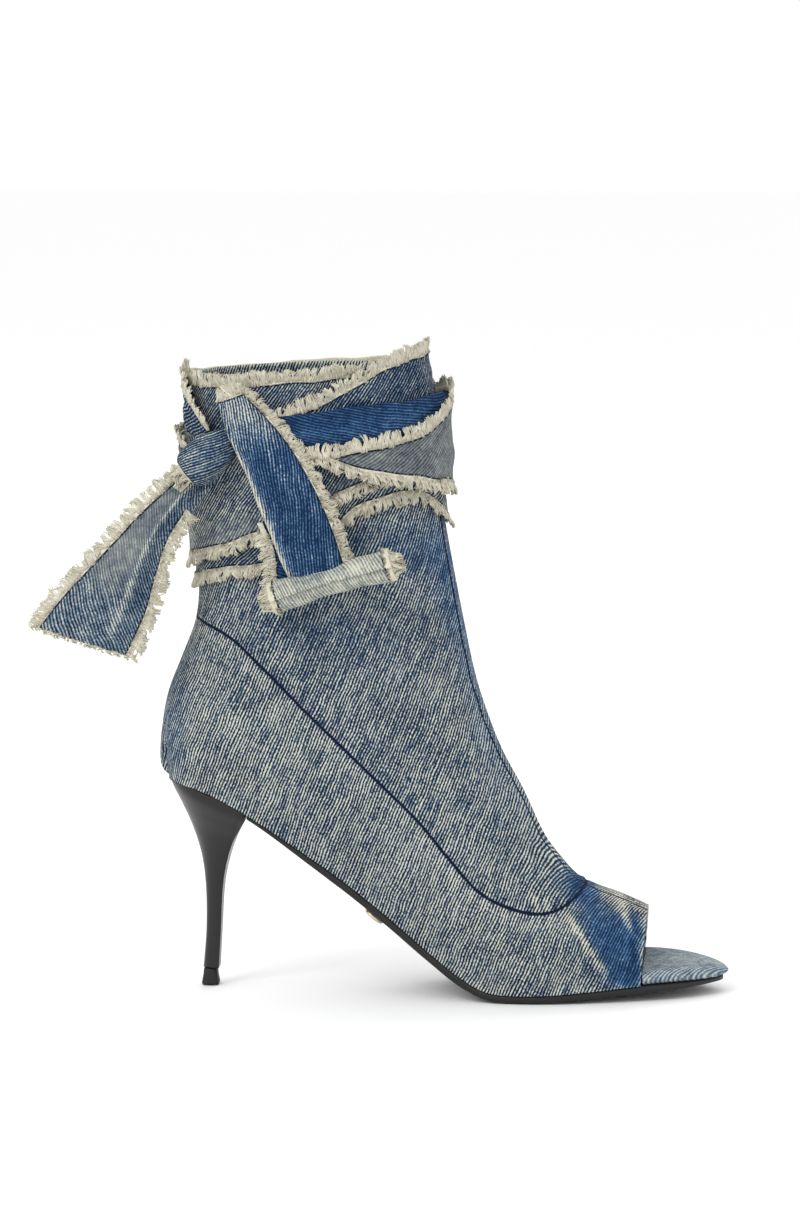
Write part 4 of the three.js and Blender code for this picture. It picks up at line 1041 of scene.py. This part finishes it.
def make_tip():
    """Stacked rings of a rounded rectangle: each half side minus the corner, plus the corner's own
    circle."""
    angle = np.linspace(0, 2 * np.pi, ROUND_POINTS, endpoint=False)
    half_sides = [TIP_LEVELS["half_length"], TIP_LEVELS["half_width"]]
    x, y = [
        (half[:, None] - TIP_CORNER) * np.sign(np.round(turn, 9)) + TIP_CORNER * turn
        for half, turn in zip(half_sides, (np.cos(angle), np.sin(angle)))
    ]
    rings = np.stack([x, y, np.broadcast_to(TIP_LEVELS["z"][:, None], x.shape)], -1)
    return weave_rings("heel_tip_rubber", rings, TIP_BLACK, weld=0.001, turned=False)


settle(make_tip(), "tip_black", "heel_tip")
stud_x = float(x_at(STUD_ALONG))
downhill = unit(np.array([(sole_height(stud_x + 1) - sole_height(stud_x - 1)) / 2, 0.0, -1.0]))
stud_seat = np.array([stud_x, STUD_SIDE, float(above(stud_x, -TREAD))]) + downhill * STUD_STANDS_OFF
settle(lathe("waist_stud", STUD_PROFILE, stud_seat, downhill, STUD_METAL), "stud_metal", "sole_stud")

# %% [markdown]
# ## The tie
# The tie is one long strip of denim whose edges are left raw. It goes round the shaft about two times,
# crosses itself at the front and is knotted on the outer side at the back. A cloth simulation could
# wind it, but the turns would seldom come to rest where the photograph shows them. So each stretch is a
# grid: a table says how high its two edges run at each turn round the shaft and how many layers lie
# under it, and the last's own surface, moved outwards, carries it. Soft lengthwise folds from a few
# sines then take the stiffness out.

# %% The tie's tables
INNER_TURN = rows("turn low high layer", [
    (0.0, 0.433, 0.9, 0), (0.12, 0.458, 0.903, 0), (0.2, 0.478, 0.914, 0), (0.265, 0.545, 0.922, 0),
    (0.31, 0.603, 0.93, 0), (0.39, 0.63, 0.933, 0), (0.45, 0.603, 0.93, 0), (0.5, 0.567, 0.915, 0),
    (0.62, 0.58, 0.895, 0), (0.75, 0.544, 0.885, 0), (0.88, 0.478, 0.885, 0),
])
MIDDLE_TURN = rows("turn low high layer", [
    (0.0, 0.478, 0.775, 1), (0.07, 0.492, 0.772, 1), (0.145, 0.521, 0.77, 1), (0.2, 0.556, 0.768, 1),
    (0.265, 0.612, 0.762, 1), (0.31, 0.652, 0.756, 1), (0.37, 0.683, 0.756, 1), (0.5, 0.672, 0.76, 1),
    (0.62, 0.65, 0.765, 1), (0.75, 0.6, 0.77, 1), (0.88, 0.528, 0.775, 1),
])
CROSS_TURN = rows("turn low high layer", [
    (0.2, 0.79, 0.822, 1), (0.265, 0.787, 0.864, 1), (0.31, 0.787, 0.898, 1), (0.36, 0.79, 0.94, 1),
    (0.42, 0.795, 0.963, 1), (0.5, 0.8, 0.972, 1), (0.56, 0.8, 0.958, 1), (0.62, 0.8, 0.937, 1),
    (0.7, 0.8, 0.922, 1), (0.8, 0.8, 0.91, 1), (0.9, 0.8, 0.904, 1), (1.0, 0.8, 0.906, 1),
    (1.05, 0.797, 0.903, 1.4), (1.08, 0.78, 0.87, 2), (1.12, 0.755, 0.81, 2),
])
FOLD_TURN = rows("turn low high layer", [
    (0.15, 0.778, 0.85, 2), (0.22, 0.76, 0.822, 2), (0.3, 0.745, 0.843, 2), (0.4, 0.778, 0.857, 2),
    (0.46, 0.81, 0.864, 2), (0.5, 0.84, 0.868, 2),
])
OUTER_TURN = rows("turn low high layer", [
    (0.2, 0.717, 0.756, 3), (0.265, 0.717, 0.755, 3), (0.31, 0.689, 0.769, 3), (0.36, 0.669, 0.786, 3),
    (0.42, 0.653, 0.817, 3), (0.47, 0.647, 0.852, 3), (0.51, 0.642, 0.883, 3), (0.6, 0.64, 0.87, 2.6),
    (0.75, 0.64, 0.83, 2.1), (0.9, 0.661, 0.79, 2), (1.0, 0.672, 0.78, 2), (1.05, 0.683, 0.765, 2),
    (1.11, 0.695, 0.742, 2),
])
print("the outer turn's ends:", OUTER_TURN["turn"][[0, -1]], "of a turn from the back")
CLOTH_SEEN = 1.1
THREAD_ROOTS = 1.8
THREAD_SIDES = 3
THREAD_WIDTH = 0.28
TUFT = 1.5
FAR_INSIDE = 20


# %% Sheets of frayed cloth
def lengths(points, axis):
    """Distance run along one axis of a grid, from 0."""
    step = np.linalg.norm(np.diff(points, axis=axis, prepend=np.take(points, [0], axis)), axis=-1)
    return np.cumsum(step, axis=axis)


def cut_size(points):
    """Width and length of a grid when it is laid flat, and its area, in metres."""
    width = lengths(points, 0)[-1].max() * MM
    length = lengths(points, 1)[:, -1].max() * MM
    a = points[1:, 1:] - points[:-1, :-1]
    b = points[1:, :-1] - points[:-1, 1:]
    area = np.linalg.norm(np.cross(a, b), axis=-1).sum() / 2 * MM * MM
    return (width, length), area


def frayed_sheet(
    name, points, raw, marks, nodes, lean, wrap=False, turned=0.0
):
    """One stretch of the tie. raw names the sides of the grid (low, high, start, end) that have a raw
    edge. Over the first share turned, the high side counts as not raw, as if turned under."""
    up, across = lengths(points, 0), lengths(points, 1)
    middle = len(points) // 2
    along = np.broadcast_to(across[middle], up.shape)
    hidden = FAR_INSIDE * (np.arange(points.shape[1]) < turned * points.shape[1])
    far = {"low": up, "high": up[-1:] - up + hidden, "start": across, "end": across[:, -1:] - across}
    inside = np.minimum.reduce([np.full(up.shape, float(FAR_INSIDE))] + [far[side] for side in raw.split()])
    piece = weave(
        name,
        points,
        grid_faces(*points.shape[:2], wrap_columns=wrap),
        twill_map(along, up - up[middle], lean),
        {key: np.broadcast_to(value, up.shape) for key, value in marks.items()} | {"fray": inside},
        (TIE_DENIM,),
    )
    thicken(settle(piece, "tie_denim", *nodes), CLOTH_SEEN)
    loop = np.concatenate([points, points[:, :1]], 1) if wrap else points
    (width, length), area = cut_size(loop)


# %% Threads along a raw edge
def tube(path, radius):
    """Rings of points round each path. path is (..., n, 3) and radius (..., n)."""
    forward = unit(np.gradient(path, axis=-2))
    helper = np.where(np.abs(forward[..., 2:]) < 0.8, (0.0, 0.0, 1.0), (1.0, 0.0, 0.0))
    first = unit(np.cross(forward, helper))
    second = np.cross(forward, first)
    angle = 2 * np.pi * np.arange(THREAD_SIDES) / THREAD_SIDES
    spin = np.cos(angle)[:, None] * first[..., None, :] + np.sin(angle)[:, None] * second[..., None, :]
    return path[..., None, :] + radius[..., None, None] * spin


def fringe(name, edges, seed, deep=3.2, threads=9):
    """Threads that stand out of raw edges in tufts. Each thread is base + t x reach + bends, drawn to
    the middle of its tuft as t grows. edges lists the points, outward directions and normals of each
    raw edge."""
    chance = np.random.default_rng(seed)
    paths, thick, shadows_and_tones = [], [], []
    t = np.array([-0.6, -0.15, 0.3, 0.7, 1.0])[None, :, None]
    for points, out, normals in edges:
        run = lengths(points[None], 1)[0]
        tufts = max(3, int(run[-1] / TUFT))
        middles = (np.arange(tufts) + chance.uniform(0.15, 0.85, tufts)) * run[-1] / tufts
        place = np.repeat(middles, threads) + chance.uniform(-0.6, 0.6, tufts * threads) * TUFT
        place = np.clip(place, 0, run[-1])
        base, outward, above_cloth = [
            np.stack([np.interp(place, run, values[:, k]) for k in range(3)], -1)
            for values in (points, unit(out), unit(normals))
        ]
        sideways = unit(np.cross(above_cloth, outward))
        pull, height, wave, size = np.repeat(chance.normal(0, 1, (4, tufts)), threads, axis=1)
        own = chance.normal(0, 1, (4, len(place)))
        to_middle = np.repeat(middles, threads) - place
        heading = np.einsum("ij,ij->i", sideways, unit(np.gradient(base, axis=0)) + 1e-9)
        to_middle = to_middle * np.where(heading < 0, -1, 1)
        reach = deep * np.clip(1 + 0.18 * size + 0.08 * own[0], 0.6, 1.4)
        lean = 0.3 * pull + 0.1 * own[1]
        rise = 0.12 * height + 0.08 * own[2] + 0.12
        way = unit(outward + lean[:, None] * sideways + rise[:, None] * above_cloth)
        bend = (0.5 * wave + 0.25 * own[3])[:, None, None] * np.sin(np.pi * t * 1.2)
        gather = 0.45 * to_middle[:, None, None] * np.clip(t, 0, 1) ** 1.3
        path = base[:, None] + t * reach[:, None, None] * way[:, None] + (bend + gather) * sideways[:, None]
        path = path + (0.2 + 0.35 * np.sin(np.pi * np.clip(t, 0, 1))) * above_cloth[:, None]
        paths.append(path)
        taper = np.array([1, 1, 1, 0.95, 0.65])
        thick.append(THREAD_WIDTH * chance.uniform(0.8, 1.2, len(place))[:, None] * taper)
        # Painted shade: dark at the root, inside the cloth's edge, and at the sides of each tuft where
        # tufts meet; a random tone for each thread is added on top.
        root = np.clip(-0.2 - 1.2 * t[..., 0], 0, 1)
        tuft_gap_shadow = 0.4 * np.clip(np.abs(to_middle) / TUFT * 2 - 0.45, 0, 1)
        shade = root + tuft_gap_shadow[:, None] + chance.uniform(0, 0.25, len(place))[:, None]
        shadows_and_tones.append(np.clip(shade, 0, 1))
    rings = tube(np.concatenate(paths), np.concatenate(thick))
    thread_count, ring_count = rings.shape[:2]
    one = grid_faces(ring_count, THREAD_SIDES, wrap_columns=True)
    first_point = np.arange(thread_count) * ring_count * THREAD_SIDES
    faces = (one[None] + first_point[:, None, None]).reshape(-1, 4)
    shade = np.repeat(np.concatenate(shadows_and_tones), THREAD_SIDES)
    return settle(weave(name, rings, faces[:, ::-1], None, {"shade": shade}, (COTTON,)), "tie_denim")


def edge_of(points, side, skip=(0, 1), wrap=False):
    """A side of a grid (low, high, start or end) as a raw edge: its points, outward directions and
    normals."""
    normals = grid_normals(points)
    if side in ("start", "end"):
        points, normals = points.swapaxes(0, 1), normals.swapaxes(0, 1)
    near, further = (0, 1) if side in ("low", "start") else (-1, -2)
    kept = [points[near], points[near] - points[further], normals[near]]
    if wrap:
        kept = [np.vstack([k, k[:1]]) for k in kept]
    start, end = [int(round(s * (len(kept[0]) - 1))) for s in skip]
    return tuple(k[start:end + 1] for k in kept)


# %% One turn of the tie
KNOT_TURN = 0.14
RIPPLE = 0.7
UP_POINTS = 34
HEM_RUNS_OUT = 0.04


def turn_line(table, name, turn, closed):
    """A column of a turn's table over the turn, on a smooth curve that repeats where the turn is
    closed."""
    spots_at = np.stack([table["turn"], table[name]], 1)
    if closed:
        spots_at = np.vstack([spots_at[-3:] - (1, 0), spots_at, spots_at[:3] + (1, 0)])
    curve = smooth(spots_at, 400)
    return np.interp(turn, curve[:, 0], curve[:, 1])


def turn_grid(
    table, raw, seed, closed=False, folds=0.45, around=380, bulge=0.0, hemmed=None, flare=(0.0, 0.0)
):
    """Points of one turn: round_shaft(turn, low + v x (high - low), inner face + cloth + soft folds).
    Between the two turns of hemmed the high edge stands for a folded-in hem: it is not cut back, so it
    reaches as high as the threads do elsewhere. flare moves the low and the high edge outwards at the
    front. Gives the points, turn and v."""
    start, end = (0.0, 1.0) if closed else table["turn"][[0, -1]]
    turn = np.linspace(start, end, around, endpoint=not closed)
    low, high = [z_at(turn_line(table, name, turn, closed)) for name in ("low", "high")]
    worn = np.minimum(FRAY - THREAD_ROOTS, (high - low) / 3)
    low = low + (worn if "low" in raw else 0) + wander(turn, seed, (2, 5, 9, 17), RIPPLE)
    if hemmed:
        first, last = hemmed
        folded = ramp(turn, first, first + HEM_RUNS_OUT) * ramp(-turn, -last - HEM_RUNS_OUT, -last)
        worn = worn * (1 - folded)
    high = high - (worn if "high" in raw else 0) + wander(turn, seed + 1, (2, 5, 9, 17), RIPPLE)
    v = np.linspace(0, 1, UP_POINTS)[:, None]
    z = low + v * (high - low)
    layer = turn_line(table, "layer", turn, closed)
    soft = np.sin(2 * np.pi * (v * 1.6 + wander(turn, seed + 2, (1, 2, 4), 0.6)))
    fine = np.sin(2 * np.pi * (v * 3.7 + wander(turn, seed + 4, (2, 3, 7), 0.7)))
    soft = soft * (0.6 + wander(turn, seed + 3, (1, 3, 5), 0.8)) + 0.4 * fine
    outset = GAP + layer * LAYER + CLOTH + folds * soft * np.sin(np.pi * v) ** 0.5
    outset = outset + bulge * (np.sin(np.pi * v) ** 0.6)
    outset = outset + (flare[0] + (flare[1] - flare[0]) * v) * bell(turn, 0.5, 0.12)
    return round_shaft(turn[None, :], z, outset), turn, v


inner_points, turn, v = turn_grid(INNER_TURN, "low high", seed=11, closed=True)
inner_edges = [edge_of(inner_points, side, wrap=True) for side in ("low", "high")]
inner_fringe = fringe("inner_fringe", inner_edges, seed=21)
# Painted shadow: the inner turn is darker round the knot, where the knot shades it; it goes into the wash
# mark.
shadow = bell(turn, KNOT_TURN, 0.06)
frayed_sheet(
    "tie_inner", inner_points, "low high",
    {"wash": 0.41 + 0.05 * np.sin(2 * np.pi * turn * 2 + 1) - 0.16 * shadow, "blue": 0.2, "grain": 1.2},
    ["tie_inner_turn"], lean=42, wrap=True,
)
middle_points, turn, v = turn_grid(MIDDLE_TURN, "low", seed=31, closed=True)
middle_fringe = fringe("middle_fringe", [edge_of(middle_points, "low", wrap=True)], seed=41)
faded = ramp(1 - v + wander(turn, seed=33, waves=(2, 5), size=0.2), 0.55, 0.85)
middle_wash = 0.37 + 0.09 * faded + 0.05 * np.sin(2 * np.pi * turn * 3)
frayed_sheet(
    "tie_middle", middle_points, "low",
    {"wash": middle_wash, "blue": 0.25 - 0.6 * faded, "grain": 1.3 - 0.7 * faded},
    ["tie_middle_turn"], lean=50, wrap=True,
)

# %% The crossing turn, the dark fold and the outer turn
HEMMED = (0.58, 0.96)
cross_points, turn, v = turn_grid(CROSS_TURN, "high", seed=51, hemmed=HEMMED)
hem_start, hem_end = [(t - turn[0]) / (turn[-1] - turn[0]) for t in HEMMED]
cross_edges = [edge_of(cross_points, "high", part) for part in ((0, hem_start + 0.03), (hem_end, 1))]
cross_fringe = fringe("cross_fringe", cross_edges, seed=61)
frayed_sheet(
    "tie_cross", cross_points, "high",
    {"wash": 0.22 + 0.05 * np.sin(2 * np.pi * turn * 2), "blue": 0.2, "grain": 1.2},
    ["tie_cross_turn"], lean=43,
)
fold_points, turn, v = turn_grid(FOLD_TURN, "", seed=71, around=160, bulge=1.5, folds=0.3)
frayed_sheet(
    "tie_dark_fold", fold_points, "",
    {"wash": 0.15 + 0.14 * np.sin(np.pi * v) ** 3, "blue": 1.2, "grain": 0.6}, ["tie_fold"], lean=-16,
)
outer_points, turn, v = turn_grid(OUTER_TURN, "low high", seed=81, flare=(-4.0, 1.5))
outer_fringe = fringe("outer_fringe", [edge_of(outer_points, side) for side in ("low", "high")], seed=91)
frayed_sheet(
    "tie_outer", outer_points, "low high",
    {"wash": 0.4 + 0.04 * np.sin(2 * np.pi * turn * 2.5 + 0.5), "blue": -0.75, "grain": 0.42},
    ["tie_outer_turn"], lean=34,
)

# %% [markdown]
# ## The knot and the two ends
# The knot is a stretch of the strip that is drawn round the others, so its folds run lengthwise and
# gather at both ends. The front end is folded in two along its length, falls over the turns and is
# rolled up at its tip. The back end hangs free behind the shaft. Each is a grid again, now between two
# edge lines drawn in the side view. Its own profile says how the cloth bows outwards and turns under at
# the fold.

# %% Where the knot and the ends lie
KNOT_LENGTH = 26
KNOT_HEIGHT = 17
KNOT_DEPTH = 16
KNOT_TILT = math.radians(38)
KNOT_OUTSET = 3 * LAYER
KNOT_RISE = 0.739
TIE_WIDTH = 51
FRONT_TAIL_LENGTH = 84
BACK_TAIL_LENGTH = 92
KNOT_FORM = rows("along size", [
    (0.0, 0.42), (0.05, 0.74), (0.16, 0.94), (0.36, 1.0), (0.58, 0.92), (0.8, 0.7), (0.95, 0.46),
    (1.0, 0.24),
])
FRONT_TAIL = rows("x0 z0 x1 z1 out", [
    (0.03, 0.27, 0.15, 0.31, -0.12), (0.06, 0.17, 0.27, 0.2, -0.04), (0.11, 0.04, 0.37, 0.09, -0.01),
    (0.18, -0.11, 0.45, -0.03, 0.0), (0.26, -0.31, 0.54, -0.2, -0.02), (0.33, -0.5, 0.61, -0.38, -0.04),
    (0.41, -0.66, 0.66, -0.55, -0.06),
])
FRONT_UNDERLAY = rows("x0 z0 x1 z1 out", [
    (0.22, -0.32, 0.4, -0.28, -0.07), (0.275, -0.46, 0.46, -0.42, -0.09), (0.285, -0.66, 0.52, -0.6, -0.1),
])
ROLL_ENDS = rows("along rise out", [(0.29, -0.68, -0.06), (0.86, -0.51, -0.04)])
BACK_TAIL = rows("x0 z0 x1 z1 out", [
    (-0.02, 0.02, 0.05, -0.06, -0.26), (-0.1, -0.04, 0.0, -0.14, -0.24),
    (-0.2, -0.13, -0.08, -0.24, -0.2), (-0.32, -0.24, -0.17, -0.38, -0.17),
    (-0.44, -0.37, -0.22, -0.53, -0.15), (-0.56, -0.5, -0.26, -0.68, -0.14),
    (-0.67, -0.62, -0.31, -0.8, -0.14), (-0.77, -0.75, -0.35, -0.88, -0.15),
])
knot_middle = round_shaft(KNOT_TURN, z_at(KNOT_RISE), KNOT_OUTSET + KNOT_DEPTH / 4)
flank = -UPPER_WIDTH * SECTIONS["lateral"][-1] - KNOT_OUTSET - LAYER
print("the knot's middle:", knot_middle.round(1), "mm, the flank plane: y =", round(float(flank), 1))


# %% A strip between two edge lines
def strip_edges(table, length, count):
    """The strip's two edges and their distance from the flank plane, as smooth lines of points."""
    y = flank - table["out"] * TIE_WIDTH
    edges = []
    for edge in "01":
        x, z = [knot_middle[k] + table[name + edge] * length for k, name in ((0, "x"), (2, "z"))]
        edges.append(smooth(np.stack([x, y, z], 1), count))
    return edges


def across_strip(first, second, profile):
    """Points across the strip: the profile's rows give the share of the way and the height off its
    plane."""
    share = profile[:, 0][:, None, None]
    points = first[None] + share * (second - first)[None]
    points[..., 1] -= profile[:, 1][:, None]
    return points


UNDER_ROWS = 6
FOLD_ROWS = 12
OVER_ROWS = 34


def make_front_end():
    """The folded end: its profile runs under the fold, round it as a half circle and over to the raw
    edge. A crease moves it along its normals. It is washed near the knot and dark blue further down,
    where the fold, a patch and a line near the raw edge are worn pale."""
    first, second = strip_edges(FRONT_TAIL, FRONT_TAIL_LENGTH, count=90)
    turn = np.linspace(-np.pi / 2, np.pi / 2, FOLD_ROWS)
    beneath = np.stack([np.linspace(0.5, 0.1, UNDER_ROWS), np.full(UNDER_ROWS, -0.3)], 1)
    fold = np.stack([0.08 - 0.08 * np.cos(turn), 1.3 + 1.6 * np.sin(turn)], 1)
    over = np.linspace(0.1, 1, OVER_ROWS)
    front = np.stack([over, 2.9 + 4.2 * np.sin(np.pi * (over - 0.1) / 0.9) ** 0.8 - 1.4 * over**2], 1)
    points = across_strip(first, second, np.vstack([beneath, fold, front]))
    u = np.linspace(0, 1, points.shape[1])[None, :]
    w = np.linspace(0, 1, points.shape[0])[:, None]
    waves = w * 2.3 + 0.5 * u + wander(u, seed=5, waves=(1, 2, 3), size=0.5)
    crease = 0.5 * np.sin(2 * np.pi * waves) * ramp(u, 0.05, 0.3)
    points = points + (crease * np.sin(np.pi * w))[..., None] * grid_normals(points)
    worn_fold = bell(w, 0.28, 0.055) * ramp(u, 0.2, 0.4)
    worn_patch = np.exp(-(((w - 0.64 - 0.1 * u) / 0.05) ** 2) - ((u - 0.5) / 0.14) ** 2)
    worn_edge = bell(w, 0.86, 0.05) * ramp(u, 0.3, 0.6)
    wash = 0.53 - 0.39 * ramp(u, 0.15, 0.5) * ramp(w, 0.3, 0.45)
    wash = wash + 0.4 * worn_fold + 0.26 * worn_patch + 0.16 * worn_edge
    return points, {"wash": wash, "blue": 0.3 + 0.8 * ramp(u, 0.15, 0.45) - 1.2 * worn_fold, "grain": 1.05}


front_points, front_marks = make_front_end()
past_fold = UNDER_ROWS + FOLD_ROWS - 2
front_edges = [
    edge_of(front_points, "high", (0.0, 0.94)),
    tuple(values[past_fold:] for values in edge_of(front_points, "start")),
]
front_fringe = fringe("front_fringe", front_edges, seed=101)
frayed_sheet(
    "tie_front_end", front_points, "high start",
    front_marks, ["tie_front_tail"], lean=-18,
)


# %% The layer under the front end
flat_profile = np.stack([np.linspace(0, 1, 16), np.full(16, 1.1)], 1)
under_points = across_strip(*strip_edges(FRONT_UNDERLAY, FRONT_TAIL_LENGTH, count=50), flat_profile)
under_fringe = fringe("underlay_fringe", [edge_of(under_points, "low", (0.2, 1.0))], seed=111, deep=3.4)
frayed_sheet(
    "tie_front_underlay", under_points, "low",
    {"wash": 0.2, "blue": 1.1, "grain": 0.6}, ["tie_front_tail"], lean=60,
)


# %% The rolled tip of the front end
ROLL_TURNS = 2.3
ROLL_INNER = 1.8
ROLL_GROWTH = 3.6
ROLL_STANDS_OFF = 2.8


def make_roll():
    """A spiral round the line between the roll's two ends: radius = (inner + growth x share) x a slow
    swell. Gives the points and the direction of the line."""
    side = flank - ROLL_ENDS["out"] * TIE_WIDTH - ROLL_STANDS_OFF
    start, end = np.stack([
        knot_middle[0] + ROLL_ENDS["along"] * FRONT_TAIL_LENGTH,
        side,
        knot_middle[2] + ROLL_ENDS["rise"] * FRONT_TAIL_LENGTH,
    ], 1)
    along = unit(end - start)
    outwards = np.array([0.0, -1.0, 0.0])
    square = np.cross(outwards, along)
    s = np.linspace(0, 1, 150)[:, None]
    t = np.linspace(0, 1, 70)[None, :]
    angle = -2 * np.pi * ROLL_TURNS * (s - 1) - np.pi / 2
    swell = 1 + 0.1 * np.sin(2 * np.pi * (t * 1.3 + 0.1)) + 0.06 * np.sin(2 * np.pi * t * 3.1 + angle)
    swell = swell + 0.14 * (bell(t, 0, 0.08) + bell(1 - t, 0, 0.08))
    radius = (ROLL_INNER + ROLL_GROWTH * s) * swell + 0.12 * np.sin(angle * 3 + t * 9)
    middle = start + t[..., None] * (end - start) + 0.8 * np.sin(np.pi * t)[..., None] * square
    spin = np.cos(angle)[..., None] * square - np.sin(angle)[..., None] * outwards
    return middle + radius[..., None] * spin, along


roll_points, roll_axis = make_roll()
roll_normals = grid_normals(roll_points)
ends = []
for row, way in ((0, -1), (-1, 1)):
    normals = roll_normals[::3, row]
    ends.append((roll_points[::3, row], way * roll_axis + 0.55 * normals, normals))
roll_fringe = fringe("roll_fringe", ends, seed=121, deep=4.4)
frayed_sheet(
    "tie_roll", roll_points, "start end",
    {"wash": 0.78, "blue": 0.05, "grain": 0.4}, ["tie_front_tail"], lean=72,
)


# %% The back end
def make_back_end():
    """The back end: its profile bows outwards, with one sharp lengthwise ridge and a trough beside it.
    The ridge is worn pale, and the cloth between it and the first edge is worn grey."""
    first, second = strip_edges(BACK_TAIL, BACK_TAIL_LENGTH, count=110)
    w = np.linspace(0, 1, 44)[:, None]
    u = np.linspace(0, 1, len(first))[None, :]
    at = 0.46 + 0.26 * u
    ridge = np.exp(-np.abs((w - at) / 0.075) ** 1.4) * 2.0 * ramp(u, 0.02, 0.2) * ramp(-u, -0.95, -0.6)
    trough = bell(w - at, 0.2, 0.1) * -0.9
    bow = 2.4 * np.sin(np.pi * w) + 0.6 * np.sin(2 * np.pi * (u * 1.2 + w))
    gather = 0.7 * np.sin(2 * np.pi * w * 5 + 1) * np.exp(-u / 0.16)
    points = first[None] + w[..., None] * (second - first)[None]
    points[..., 1] -= CLOTH + ridge + trough + bow + gather
    worn_ridge = np.exp(-np.abs((w - at) / 0.05) ** 1.5) * ramp(-u, -1.0, -0.8)
    worn_patch = np.exp(-(((w - 0.33) / 0.12) ** 2) - ((u - 0.6) / 0.14) ** 2)
    wash = 0.34 + 0.4 * worn_ridge + 0.13 * ramp(at - w, 0, 0.2)
    wash = wash + 0.08 * worn_patch + 0.14 * ramp(w, 0.8, 1)
    worn = ramp(at - w, 0.0, 0.1) * ramp(u, 0.1, 0.3) * ramp(-u, -0.8, -0.6)
    return points, {"wash": wash, "blue": 0.25 - 0.7 * worn, "grain": 0.8 - 0.5 * worn}


back_points, back_marks = make_back_end()
back_edges = [edge_of(back_points, "low", (0.08, 1.0)), edge_of(back_points, "high", (0.3, 1.0))]
back_fringe = fringe("back_fringe", back_edges, seed=131)
end_fringe = fringe("end_fringe", [edge_of(back_points, "end")], seed=137, deep=1.2, threads=4)
frayed_sheet(
    "tie_back_end", back_points, "low high",
    back_marks, ["tie_back_tail"], lean=46, turned=0.3,
)


# %% The knot
def make_knot():
    """A barrel open underneath: radius = form table x (1 + pleats). The pleats run along it and gather
    at its ends. Gives the points and the direction of the barrel."""
    s = np.linspace(0, 1, 64)[None, :]
    angle = np.linspace(-2.5, 2.5, 90)[:, None]
    along = np.array([math.cos(KNOT_TILT), 0.0, math.sin(KNOT_TILT)])
    square = np.array([-math.sin(KNOT_TILT), 0.0, math.cos(KNOT_TILT)])
    fine = np.linspace(0, 1, 200)
    size, place = [np.interp(s, fine, column(KNOT_FORM, name, fine)) for name in ("size", "along")]
    pleat = np.sin(angle * 5 + 1.5 * np.sin(3 * s)) * 0.05 + 0.035 * np.sin(angle * 9 + 2 * s + 1)
    pleat = pleat * (0.5 + 1.4 * (s - 0.4) ** 2 * 4)
    size = np.maximum(size, 0.3) * (1 + pleat)
    out = np.cos(angle)[..., None] * np.array([0.0, -1.0, 0.0]) * (size * KNOT_DEPTH / 2)[..., None]
    up = np.sin(angle)[..., None] * square * (size * KNOT_HEIGHT / 2)[..., None]
    return knot_middle + ((place - 0.5) * KNOT_LENGTH)[..., None] * along + out + up, along


knot_points, knot_along = make_knot()
front_rows = slice(10, -10)
knot_normals = grid_normals(knot_points)[front_rows, 2]
knot_edge = (knot_points[front_rows, 0], knot_normals * 0.6 - knot_along, knot_normals)
knot_fringe = fringe("knot_fringe", [knot_edge], seed=141, deep=4.4)
s = np.linspace(0, 1, knot_points.shape[1])
frayed_sheet(
    "knot_cloth", knot_points, "start",
    {"wash": 0.3 + 0.06 * np.sin(s * 5), "blue": 0.25, "grain": 0.95},
    ["tie_knot"], lean=-20,
)
